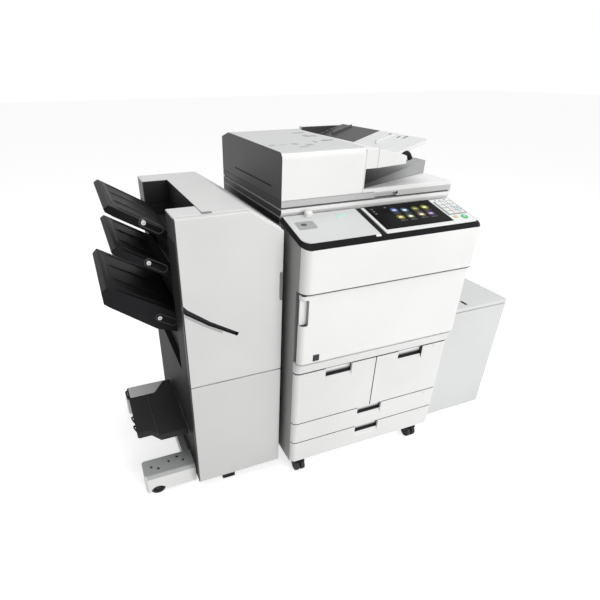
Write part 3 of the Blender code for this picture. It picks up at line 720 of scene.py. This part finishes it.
# ---- operators ----------------------------------------------------------------------
class COPIER_OT_finishes(bpy.types.Operator):
    """Give every CAD node its node material"""
    bl_idname = "copier.finishes"
    bl_label = "Finishes"

    def execute(self, context):
        tone = context.scene.copier_finishes
        white, pale, black = tuple(tone.white), tuple(tone.pale), tuple(tone.black)
        self.plain(white, pale, black)
        self.marked(white, pale, context.scene.copier_fittings.louvres)
        self.repeated(white, pale, black)
        dress("touch_screen", screen_finish("screen_glass"))
        dress("platen_glass", glass_finish("platen_glass_clear"))
        dress("deck_lift_plate", sheet_metal("lift_plated", (0.60, 0.61, 0.62), 0.35))
        dress("feed_roller", rubber("roller_rubber", (0.03, 0.03, 0.032), 0.75))
        return {"FINISHED"}

    def plain(self, white, pale, black):
        """Mouldings of one colour: finish name, colour, then roughness and grain where they differ."""
        finishes = {
            "side_right": ("cover_white", white),
            # The left side is painted grey as the shade it lies in beside the finisher.
            "side_left": ("side_left_grey", shade(white, 0.42)),
            "finisher_body": ("finisher_black", (0.030, 0.030, 0.031), 0.5),
            "booklet_tray": ("booklet_dark", (0.042, 0.042, 0.044), 0.42, 0.1),
            "console_rim": ("rim_black", black, 0.32, 0.04),
            "console_ledge": ("ledge_pale", shade(pale, 0.92)),
            "start_key": ("start_green", (0.04, 0.45, 0.14), 0.3, 0.03),
            "stop_key": ("stop_amber", (0.62, 0.55, 0.28), 0.3, 0.03),
            "door_label": ("label_dark", (0.055, 0.056, 0.06), 0.35, 0.02),
            "guide_front": ("guide_front_pale", shade(pale, 1.15), 0.5),
            "guide_rear": ("guide_rear_grey", (0.12, 0.12, 0.123), 0.45),
            "deck_body": ("deck_body_pale", pale),
            "deck_lid": ("deck_lid_pale", pale),
            "deck_key": ("deck_key_black", black, 0.35),
            "inner_cover": ("inner_grey", (0.34, 0.35, 0.35), 0.5),
            "toner_bottle": ("toner_black", (0.03, 0.03, 0.032), 0.35),
            "release_lever": ("lever_green", (0.04, 0.34, 0.13), 0.35),
            "scan_carriage": ("carriage_dark", (0.04, 0.04, 0.042), 0.45),
        }
        for node, finish in finishes.items():
            dress(node, moulded(*finish))

    def marked(self, white, pale, slats):
        """Mouldings that are partly repainted, many of them with painted shade."""
        fin = shade(white, 0.86)
        for node, name, colour, marks, *feel in (
                ("upper_front_cover", "upper_cover_white", white,
                 panel_edges("upper_front_cover", line=0.0040)),
                ("front_lip", "lip_white", shade(white, 0.97),
                 panel_edges("front_lip", ends=(1, 0), line=0.0030)),
                ("front_door", "door_white", shade(white, 1.03),
                 panel_edges("front_door", ends=(0, 1), grip=(0.027, 0.713, 0.806))),
                ("reader_housing", "reader_white", white, reader_marks),
                ("feeder_base", "feeder_base_white", white, feeder_base_marks),
                ("feeder_cover", "feeder_cover_white", shade(white, 1.03), feeder_cover_marks),
                ("input_tray", "input_white", white, input_marks),
                ("eject_tray", "eject_grey", MID, eject_marks, 0.5),
                ("finisher_top", "finisher_top_white", fin, finisher_top_marks),
                ("finisher_door", "finisher_door_white", fin, finisher_door_marks),
                # Painted shade on the left side of the lower cover.
                ("finisher_lower_cover", "finisher_lower_white", shade(fin, 0.95),
                 painted_left_shade("finisher_lower_cover", (0.05, 0.05, 0.052), 0.0035)),
                ("control_panel", "panel_pale", shade(pale, 1.12), panel_marks, 0.40),
                ("numeric_keypad", "keypad_rubber", white, keypad_marks, 0.5, 0.05),
                ("stabiliser", "stand_pale", shade(white, 1.10), stand_marks),
                ("rear_cover", "rear_pale", fin, rear_marks(slats), 0.5)):
            dress(node, moulded(name, colour, *feel, marks=marks))

    def repeated(self, white, pale, black):
        """Drawers, output trays, inner plates and wheels."""
        pulls = {"1": ((0, 1), (0.123, 0.233, 0.467)), "2": ((1, 0), (0.437, 0.549, 0.467)),
                 "3": ((0, 0), (0.284, 0.395, 0.240)), "4": ((0, 0), (0.284, 0.395, 0.143))}
        for tag, (sides, pull) in pulls.items():
            front, tray = "drawer_%s_front" % tag, "drawer_%s_tray" % tag
            marks = panel_edges(front, 0.0005, sides, pull=pull)
            dress(front, moulded(front + "_white", shade(white, 0.95), marks=marks))
            dress(tray, moulded(tray + "_grey", shade(pale, 0.6), 0.5))
        # Painted light and shade: the same black is darker on tray_1, which the top lamp lights most, and
        # lighter on the trays below it.
        for node, share in (("tray_1", 0.7), ("tray_2", 1.5), ("tray_3", 1.7)):
            dress(node, moulded(node + "_black", shade(black, share), 0.42, 0.10, marks=tray_marks))
        for node in ("base_plate", "mid_shelf"):
            dress(node, sheet_metal(node + "_plated", (0.42, 0.43, 0.44), 0.45))
        tyre = rubber("caster_rubber")
        fork = moulded("fork_black", (0.009, 0.009, 0.0095), 0.45)
        for tag in ("fl", "fr", "rl", "rr"):
            dress("caster_%s_wheel" % tag, tyre)
            dress("caster_%s_swivel" % tag, fork)
        for tag in ("front", "rear"):
            dress("foot_wheel_" + tag, tyre)


class COPIER_OT_output_trays(bpy.types.Operator):
    """Bright pins, slot borders and ribs of the sloping output trays"""
    bl_idname = "copier.output_trays"
    bl_label = "Output tray fittings"

    def execute(self, context):
        size = context.scene.copier_fittings
        bright = sheet_metal("pin_bright", (0.50, 0.50, 0.49), 0.34, (30.0, 30.0, 30.0))
        black = moulded("tray_trim_black", (0.030, 0.030, 0.032), 0.34, 0.08)
        edge = moulded("slot_edge_grey", (0.085, 0.085, 0.088), 0.4, 0.05)
        pins = {"tray_1": (-0.424, 1.044), "tray_2": (-0.424, 0.918), "tray_3": (-0.412, 0.722)}
        for index, (node, (x, z)) in enumerate(pins.items()):
            body = "output_%d" % (index + 1)
            low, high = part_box(node)
            r = size.pin_radius
            pin = np.array([at(x, 0, z)[0], low[1], z])
            profile = [(r * 0.75, -0.004), (r, -0.001), (r, 0.004), (r * 0.86, 0.0065), (r * 0.45, 0.0065),
                       (r * 0.34, 0.0035), (0.0004, 0.0035)]
            mesh_piece(node + "_pin", [spun(pin, (0, -1, 0), profile)], bright, body)
            mesh_piece(node + "_slot", [self.slot(pin, 0.0122)], edge, body)
            mesh_piece(node + "_ribs", self.ribs(node, low, high, size.rib_height), black, body)
        return {"FINISHED"}

    def slot(self, pin, r):
        """Raised border of the long slot that runs from the pin down towards the finisher."""
        t = np.linspace(0, 2 * math.pi, 48, endpoint=False)
        reach = 0.052
        along = np.array([0.857, 0, -0.515])
        up = np.array([0.515, 0, 0.857])
        u = np.cos(t) * r + np.where(np.cos(t) > 0, reach, 0.0)
        v = np.sin(t) * r
        path = pin + u[:, None] * along + v[:, None] * up + np.array([0, 0.0002, 0])
        return carried(path, round_section(0.0018, 8), closed=True, up=(0, 1.0, 0))

    def ribs(self, node, low, high, height):
        """Low ridges along the slope, and one across near the tip."""
        tip, root = low[0] + 0.030, high[0] - 0.030
        top_x = low[0] + (0.016 if node != "tray_3" else 0.018)
        steps = np.arange(14)
        ease = np.minimum(1, np.minimum(steps, steps[::-1]) / 2.0)
        sunk = height * 1.2 * (1 - ease)
        parts = []
        for share, wide in ((0.085, 0.0060), (0.30, 0.0035), (0.62, 0.0060), (0.93, 0.0060)):
            y = low[1] + (high[1] - low[1]) * share
            x = np.linspace(tip, root, len(steps))
            ridge = np.stack([x, np.full(len(steps), y), high[2] - (x - top_x) * TRAY_FALL - sunk], -1)
            parts.append(carried(ridge, round_section(wide, 10, height / wide)))
        y = np.linspace(low[1] + 0.032, high[1] - 0.030, len(steps))
        ridge = np.stack([np.full(len(steps), tip), y, high[2] - 0.014 * TRAY_FALL - sunk], -1)
        parts.append(carried(ridge, round_section(0.0045, 10, height / 0.0045)))
        return parts


class COPIER_OT_finisher_fittings(bpy.types.Operator):
    """Latch, top seam, grip strip, side catch, booklet fittings and stand screws of the finisher"""
    bl_idname = "copier.finisher_fittings"
    bl_label = "Finisher fittings"

    def execute(self, context):
        grey = moulded("latch_grey", (0.20, 0.205, 0.205), 0.4)
        light = moulded("strip_light", (0.42, 0.425, 0.425), 0.4)
        black = moulded("loop_black", (0.018, 0.018, 0.019), 0.35, 0.05)
        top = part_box("finisher_top")[1][2]
        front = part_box("finisher_door")[0][1]
        mesh_piece("top_latch", [pebble(at(-0.2565, 0.1025, top - 0.0004), (0.034, 0.017, 0.003))],
                   grey, "finisher")
        seam = straight(at(-0.2690, 0.094, top), at(-0.2690, 0.181, top))
        mesh_piece("top_seam", [carried(seam, round_section(0.0014, 8, 0.4))], black, "finisher")
        tall = at(-0.0300, 0, 0.8260)
        mesh_piece("door_catch", [pebble((tall[0], front + 0.0005, tall[2]), (0.010, 0.006, 0.100)),
                                  pebble((tall[0] + 0.001, front - 0.0005, 0.783),
                                         (0.009, 0.008, 0.014), square=0.7)], grey, "finisher_front")
        bends = np.array([(-0.3540, 0.7850), (-0.3440, 0.7765), (-0.2950, 0.7400), (-0.2600, 0.7170),
                          (-0.2350, 0.7020)])
        share, fine = np.linspace(0, 1, len(bends)), np.linspace(0, 1, 26)
        path = np.stack([CORNER[0] + np.interp(fine, share, bends[:, 0]), np.full(len(fine), front - 0.0002),
                         np.interp(fine, share, bends[:, 1]) - 0.0045], -1)
        section = [(-0.0010, -0.0035), (0.0012, -0.0035), (0.0012, 0.0035), (-0.0010, 0.0035)]
        mesh_piece("grip_strip", [carried(path, section)], light, "finisher_front")
        self.booklet(black)
        self.screws()
        return {"FINISHED"}

    def booklet(self, black):
        """Pale sheet bed, wire end loops and low rib of the booklet tray."""
        low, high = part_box("booklet_tray")
        top = high[2]
        bed = moulded("booklet_bed_pale", (0.84, 0.845, 0.84), 0.42)
        y0, y1 = at(0, 0.438, 0)[1], high[1] - 0.004
        x0, x1 = low[0] + 0.006, at(-0.4180, 0, 0)[0]
        verts, faces = pebble(((x0 + x1) / 2, (y0 + y1) / 2, top + 0.0002), (x1 - x0, y1 - y0, 0.0045),
                              square=0.12, cols=48)
        verts[:, 0] += (verts[:, 1] - (y0 + y1) / 2) * 0.7 * (verts[:, 0] - x0) / (x1 - x0)
        mesh_piece("booklet_bed", [(verts, faces)], bed, "booklet_output")
        wire = round_section(0.0032, 10)
        parts = []
        t = np.linspace(0, 2 * math.pi, 40, endpoint=False)
        bulge = 0.010 * np.maximum(np.cos(t), 0.0)
        for y, reach in ((0.470, 0.060), (0.300, 0.034), (0.245, 0.030)):
            path = np.stack([low[0] + 0.004 - bulge, at(0, y, 0)[1] + np.sin(t) * reach * 0.5,
                             top - 0.012 + np.cos(t) * 0.016], -1)
            parts.append(carried(path, wire, closed=True, up=(1.0, 0, 0)))
        mesh_piece("booklet_loops", parts, black, "booklet_output")
        seam = straight((at(-0.478, 0, 0)[0], low[1] + 0.012, top + 0.0006),
                        (at(-0.478, 0, 0)[0], at(0, 0.425, 0)[1], top + 0.0006))
        mesh_piece("booklet_rib", [carried(seam, round_section(0.0022, 8, 0.5))],
                   moulded("booklet_rib_grey", (0.075, 0.075, 0.078), 0.4), "booklet_output")

    def screws(self):
        """Dark screw heads on the feet."""
        steel = sheet_metal("screw_dark", (0.12, 0.12, 0.125), 0.4, (20.0, 20.0, 20.0))
        profile = [(0.0052, -0.002), (0.0052, 0.0012), (0.0040, 0.0022), (0.0016, 0.0022), (0.0012, 0.0010),
                   (0.0002, 0.0010)]
        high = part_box("stabiliser")[1][2]
        parts = []
        for x, y in ((-0.525, 0.165), (-0.500, 0.150), (-0.455, 0.172), (-0.420, 0.185), (-0.400, 0.160),
                     (-0.520, 0.665), (-0.430, 0.665)):
            where = at(x, y, 0)
            parts.append(spun((where[0], where[1], high), (0, 0, 1), profile, 16))
        mesh_piece("stand_screws", parts, steel, "finisher")


class COPIER_OT_desk_fittings(bpy.types.Operator):
    """Small fittings and plain numerals on the operating surface"""
    bl_idname = "copier.desk_fittings"
    bl_label = "Operating surface"

    def execute(self, context):
        size = context.scene.copier_fittings
        axes = desk_axes()
        white = moulded("knob_white", (0.78, 0.78, 0.77), 0.35)
        grey = moulded("recess_painted_shade", (0.33, 0.34, 0.34), 0.45)
        mesh_piece("ledge_knob", [pebble(desk(0.088, 0.132, 0.010), (0.026, 0.022, 0.022), axes, 0.6)],
                   white, "main_unit")
        # Painted shade: the clip dish is a grey slab and its hollow a darker one, standing for the shade of
        # the recess.
        mesh_piece("clip_dish", [pebble(desk(0.057, 0.084, 0.0008), (0.064, 0.046, 0.0050), axes, 0.2)],
                   grey, "main_unit")
        mesh_piece("clip_hollow", [pebble(desk(0.050, 0.086, 0.0034), (0.020, 0.013, 0.0018), axes, 0.7)],
                   moulded("hollow_painted_shade", (0.10, 0.10, 0.10), 0.5), "main_unit")
        mesh_piece("ledge_light", [pebble(desk(0.198, 0.116, 0.0022), (0.038, 0.020, 0.0032), axes, 0.6)],
                   moulded("light_mint", (0.50, 0.70, 0.61), 0.35, 0.02), "main_unit")
        mesh_piece("rim_wedge", [pebble(desk(0.2620, -0.0130, -0.0024), (0.020, 0.009, 0.0040),
                                        [[1.0, 0, 0], [0, 0.757, 0.653], [0, -0.653, 0.757]], 0.6)],
                   white, "main_unit")
        ink = moulded("numeral_ink", (0.05, 0.05, 0.055), 0.5, 0.02)
        for row, line in enumerate(("*0#", "789", "456", "123")):
            for col, mark in enumerate(line):
                place = desk(KEY_FIRST[0] + KEY_PITCH[0] * col, KEY_FIRST[1] + KEY_PITCH[1] * row, KEY_TOP)
                digits("key_mark_%d_%d" % (row, col), mark, size.key_digit, place, axes[0], axes[1],
                       ink, "panel")
        diamond = spun(desk(0.6290, 0.0210, 0.0021), axes[2],
                       [(0.0050, -0.0008), (0.0050, 0.0002), (0.0042, 0.0004), (0.0001, 0.0004)], 4)
        mesh_piece("start_sign", [diamond], moulded("sign_white", (0.8, 0.82, 0.8), 0.4), "start_button")
        lamp = moulded("lamp_grey", (0.22, 0.24, 0.23), 0.25, 0.02)
        mesh_piece("panel_lamps", [pebble(desk(x, 0.1380, 0.0005), (0.008, 0.0030, 0.002), axes, 0.5, 9, 16)
                                   for x in (0.596, 0.616, 0.636)], lamp, "panel")
        return {"FINISHED"}


class COPIER_OT_feeder_fittings(bpy.types.Operator):
    """Side groove, indicator, stop hook, output ribs, rollers and printed signs of the feeder"""
    bl_idname = "copier.feeder_fittings"
    bl_label = "Feeder fittings"

    def execute(self, context):
        black = moulded("hook_black", (0.02, 0.02, 0.021), 0.35, 0.05)
        dark = moulded("groove_dark", (0.022, 0.022, 0.023), 0.5)
        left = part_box("feeder_cover")[0][0]
        ends = [(left + 0.0002, at(0, y, 0)[1], 1.108) for y in (0.228, 0.588)]
        groove = carried(straight(*ends, 20), round_section(0.0032, 10, 0.22), up=(1.0, 0, 0))
        mesh_piece("side_groove", [groove], dark, "feeder_lid")
        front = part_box("feeder_base")[0][1]
        dot = at(0.4370, 0, 1.0640)
        mesh_piece("feeder_lamp", [pebble((dot[0], front, dot[2]), (0.007, 0.003, 0.009), square=0.5)],
                   black, "feeder")
        t = np.linspace(0.0, 1.0, 16)
        path = np.stack([at(0.452, 0, 0)[0] + 0.034 * t, np.full(16, front + 0.018),
                         1.1800 + 0.0085 * np.sin(t * math.pi * 0.9) - 0.016 * t ** 3], -1)
        mesh_piece("stop_hook", [carried(path, round_section(0.0078, 12, 1.0))], black, "originals_tray")
        self.output()
        self.signs()
        return {"FINISHED"}

    def output(self):
        """Long ribs on the sloping output block, and the pair of exit rollers above it."""
        low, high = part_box("eject_tray")
        grey = moulded("eject_rib_grey", (0.10, 0.10, 0.103), 0.45)
        parts = []
        for k in range(7):
            y = low[1] + 0.185 + 0.054 * k
            x0, x1 = low[0] + 0.012, high[0] - 0.05
            z0 = 1.098 + (x0 - low[0]) * 0.093
            z1 = 1.098 + (x1 - low[0]) * 0.093
            parts.append(carried(straight((x0, y, z0), (x1, y, z1), 6), round_section(0.0045, 8, 0.6)))
        mesh_piece("eject_ribs", parts, grey, "feeder")
        wheel = [(0.004, -0.009), (0.0085, -0.007), (0.0085, 0.007), (0.004, 0.009)]
        rollers = [spun((at(0.313, 0, 0)[0], low[1] + 0.20 + 0.09 * k, 1.1325), (0, 1, 0), wheel, 20)
                   for k in range(4)]
        mesh_piece("exit_rollers", rollers, rubber("exit_rubber", (0.05, 0.05, 0.052)), "feeder")

    def signs(self):
        """Plain loading marks: small bars and sheets printed on the feeder's top."""
        ink = moulded("feeder_ink", (0.16, 0.165, 0.17), 0.5, 0.02)
        soft = moulded("feeder_smudge", (0.36, 0.365, 0.37), 0.5, 0.02)
        parts, pale = [], []
        for group, x, y, w, d in ((parts, 0.252, 0.334, 0.046, 0.016), (parts, 0.196, 0.318, 0.006, 0.036),
                                  (pale, 0.244, 0.545, 0.050, 0.022), (pale, 0.236, 0.462, 0.024, 0.050),
                                  (pale, 0.262, 0.452, 0.016, 0.040), (pale, 0.030, 0.300, 0.022, 0.020),
                                  (pale, 0.066, 0.296, 0.034, 0.006), (pale, 0.112, 0.300, 0.022, 0.026),
                                  (pale, 0.116, 0.236, 0.034, 0.016), (pale, 0.150, 0.268, 0.024, 0.030)):
            where = at(x, y, 0)
            rise = 1.2175 + max(0.0, y - 0.174) * 0.01324 + 0.0002
            group.append(pebble((where[0], where[1], rise), (w, d, 0.0008), square=0.3, rows=7))
        mesh_piece("feeder_smudges", pale, soft, "feeder_lid")
        mesh_piece("feeder_signs", parts, ink, "feeder_lid")
        marks = []
        for x, y, w in ((0.533, 0.364, 0.010), (0.524, 0.300, 0.014), (0.530, 0.270, 0.022)):
            where = at(x, y, 0)
            z = 1.1870 + (x - 0.4150) * 0.3038 + 0.0001
            marks.append(pebble((where[0], where[1], z), (w, 0.010, 0.0005),
                                [[0.9568, 0, 0.2907], [0, 1, 0], [-0.2907, 0, 0.9568]], 0.3, 7))
        mesh_piece("tray_signs", marks, ink, "originals_tray")


class COPIER_OT_cabinet_fittings(bpy.types.Operator):
    """Drawer numerals, wheel hubs and pads of the inner cover"""
    bl_idname = "copier.cabinet_fittings"
    bl_label = "Cabinet fittings"

    def execute(self, context):
        ink = moulded("drawer_ink", (0.30, 0.31, 0.32), 0.5, 0.02)
        places = {"1": (0.047, 0.494), "2": (0.600, 0.494), "3": (0.600, 0.264), "4": (0.600, 0.168)}
        for mark, (x, z) in places.items():
            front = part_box("drawer_%s_front" % mark)[0][1]
            where = (at(x, 0, 0)[0], front - 0.0001, z)
            digits("drawer_mark_" + mark, mark, 0.011, where, (1, 0, 0), (0, 0, 1),
                   ink, "paper_drawer_" + mark)
        self.hubs()
        self.inside()
        return {"FINISHED"}

    def hubs(self):
        """Low rings on both faces of every wheel."""
        grey = moulded("hub_grey", (0.014, 0.014, 0.0145), 0.4)
        caster = [(0.016, -0.002), (0.016, 0.0006), (0.012, 0.0008), (0.010, 0.0002), (0.005, 0.0002),
                  (0.0045, 0.0009), (0.0003, 0.0009)]
        foot = [(0.020, -0.002), (0.020, 0.0006), (0.015, 0.0008), (0.006, 0.0002), (0.0003, 0.0006)]
        wheels = [("caster_%s_wheel" % tag, "hub_" + tag, "wheel_" + tag, 0, caster)
                  for tag in ("fl", "fr", "rl", "rr")]
        wheels += [("foot_wheel_" + tag, "foot_hub_" + tag, "foot_roller_" + tag, 1, foot)
                   for tag in ("front", "rear")]
        for node, name, body, axle, profile in wheels:
            low, high = (np.array(corner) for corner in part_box(node))
            along = np.eye(3)[axle]
            half = (high - low)[axle] / 2 - 0.0004
            rings = [spun((low + high) / 2 + way * half * along, way * along, profile, 28) for way in (-1, 1)]
            mesh_piece(name, rings, grey, body)

    def inside(self):
        """Flat dark pads on the inner cover."""
        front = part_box("inner_cover")[0][1]
        dark = moulded("inner_pad_dark", (0.12, 0.12, 0.125), 0.5)
        places = ((0.48, 0.62, 0.22, 0.08), (0.32, 0.74, 0.07, 0.11), (0.15, 0.60, 0.20, 0.06))
        pads = [pebble((at(x, 0, 0)[0], front, z), (w, 0.0008, h), square=0.2) for x, z, w, h in places]
        mesh_piece("inner_pads", pads, dark, "main_unit")


class COPIER_OT_studio(bpy.types.Operator):
    """Camera, floor, world and soft lights"""
    bl_idname = "copier.studio"
    bl_label = "Studio"

    def execute(self, context):
        scene = context.scene
        view = scene.copier_studio
        camera = bpy.data.objects.new("camera", bpy.data.cameras.new("camera"))
        scene.collection.objects.link(camera)
        camera.data.lens = view.lens
        camera.data.sensor_width = 36.0
        camera.data.shift_x, camera.data.shift_y = view.shift
        camera.data.clip_start = 0.01
        turn = (Matrix.Rotation(-view.heading, 4, "Z") @ Matrix.Rotation(math.pi / 2 - view.dip, 4, "X")
                @ Matrix.Rotation(-view.roll, 4, "Z"))
        camera.matrix_world = Matrix.Translation(CORNER + np.array(view.eye)) @ turn
        scene.camera = camera
        self.floor(scene)
        self.world(scene)
        middle = (np.array(CAD_BOUNDS[0]) + np.array(CAD_BOUNDS[1])) / 2
        for name, offset, size, power, tone in (
                ("key_light", (0.7, -3.6, 1.3), 2.4, 74.0, (1.0, 0.995, 0.985)),
                ("side_light", (3.2, -1.2, 1.6), 2.0, 20.0, (0.97, 0.985, 1.0)),
                ("top_light", (0.2, -0.2, 3.4), 2.4, 50.0, (1.0, 1.0, 1.0))):
            lamp = bpy.data.lights.new(name, "AREA")
            lamp.shape = "SQUARE"
            lamp.size = size
            lamp.energy = power
            lamp.color = tone
            obj = bpy.data.objects.new(name, lamp)
            scene.collection.objects.link(obj)
            place = middle + np.array(offset)
            ahead = (middle - place) / np.linalg.norm(middle - place)
            obj.matrix_world = Matrix.Translation(place) @ self.facing(ahead)
        scene.view_settings.view_transform = "Standard"
        return {"FINISHED"}

    def facing(self, ahead):
        """Rotation that points local -Z along a direction."""
        side = np.cross(ahead, [0, 0, 1.0])
        side /= np.linalg.norm(side)
        up = np.cross(side, ahead)
        return Matrix([[side[0], up[0], -ahead[0], 0], [side[1], up[1], -ahead[1], 0],
                       [side[2], up[2], -ahead[2], 0], [0, 0, 0, 1]])

    def floor(self, scene):
        """Wide pale floor that takes the object's shadow."""
        mesh = bpy.data.meshes.new("studio_floor")
        mesh.from_pydata([(-30, -30, 0), (30, -30, 0), (30, 30, 0), (-30, 30, 0)], [], [(0, 1, 2, 3)])
        obj = bpy.data.objects.new("studio_floor", mesh)
        scene.collection.objects.link(obj)
        shop = Shop("studio_floor_white")
        tree = shop.tree
        tree.nodes.remove(shop.shader)
        diffuse = tree.nodes.new("ShaderNodeBsdfDiffuse")
        diffuse.inputs["Color"].default_value = (0.80, 0.80, 0.80, 1.0)
        glow = tree.nodes.new("ShaderNodeEmission")
        seen = self.seen(shop)
        shop.feed(glow.inputs["Strength"], seen * FLOOR_GLOW)
        add = tree.nodes.new("ShaderNodeAddShader")
        tree.links.new(diffuse.outputs[0], add.inputs[0])
        tree.links.new(glow.outputs[0], add.inputs[1])
        tree.links.new(add.outputs[0], shop.output.inputs["Surface"])
        mesh.materials.append(shop.material)

    def seen(self, shop):
        """1 for camera, mirror and see-through rays."""
        path = shop.tree.nodes.new("ShaderNodeLightPath")
        camera = Wire(shop, path.outputs["Is Camera Ray"])
        mirror = Wire(shop, path.outputs["Is Glossy Ray"])
        through = Wire(shop, path.outputs["Is Transmission Ray"])
        return camera.highest(mirror).highest(through)

    def world(self, scene):
        """White where it is seen, softer where it lights."""
        world = bpy.data.worlds.new("studio_world")
        world.use_nodes = True
        scene.world = world
        tree = world.node_tree
        back = tree.nodes["Background"]
        path = tree.nodes.new("ShaderNodeLightPath")
        first = tree.nodes.new("ShaderNodeMath")
        first.operation = "MAXIMUM"
        tree.links.new(path.outputs["Is Camera Ray"], first.inputs[0])
        tree.links.new(path.outputs["Is Glossy Ray"], first.inputs[1])
        second = tree.nodes.new("ShaderNodeMath")
        second.operation = "MAXIMUM"
        tree.links.new(first.outputs[0], second.inputs[0])
        tree.links.new(path.outputs["Is Transmission Ray"], second.inputs[1])
        level = tree.nodes.new("ShaderNodeMapRange")
        level.inputs["To Min"].default_value = WORLD_FILL
        level.inputs["To Max"].default_value = 1.0
        tree.links.new(second.outputs[0], level.inputs["Value"])
        tree.links.new(level.outputs[0], back.inputs["Strength"])
        back.inputs["Color"].default_value = (1.0, 1.0, 1.0, 1.0)


class COPIER_PT_panel(bpy.types.Panel):
    """Sidebar panel that lists the operators"""
    bl_label = "Copier"
    bl_idname = "COPIER_PT_panel"
    bl_space_type = "VIEW_3D"
    bl_region_type = "UI"
    bl_category = "Copier"

    def draw(self, context):
        layout = self.layout
        for group in ("copier_finishes", "copier_fittings", "copier_studio"):
            settings = getattr(context.scene, group)
            for key in type(settings).__annotations__:
                layout.prop(settings, key)
        for operator in OPERATORS:
            layout.operator(operator.bl_idname)


GROUPS = {"copier_finishes": CopierFinishes, "copier_fittings": CopierFittings, "copier_studio": CopierStudio}
OPERATORS = (COPIER_OT_finishes, COPIER_OT_output_trays, COPIER_OT_finisher_fittings, COPIER_OT_desk_fittings,
             COPIER_OT_feeder_fittings, COPIER_OT_cabinet_fittings, COPIER_OT_studio)


def register():
    for item in (*GROUPS.values(), *OPERATORS, COPIER_PT_panel):
        bpy.utils.register_class(item)
    for name, group in GROUPS.items():
        setattr(bpy.types.Scene, name, bpy.props.PointerProperty(type=group))


def unregister():
    for name in GROUPS:
        delattr(bpy.types.Scene, name)
    for item in (COPIER_PT_panel, *OPERATORS[::-1], *GROUPS.values()):
        bpy.utils.unregister_class(item)


def main():
    register()
    for operator in OPERATORS:
        module, name = operator.bl_idname.split(".")
        getattr(getattr(bpy.ops, module), name)()


if __name__ == "__main__":
    main()
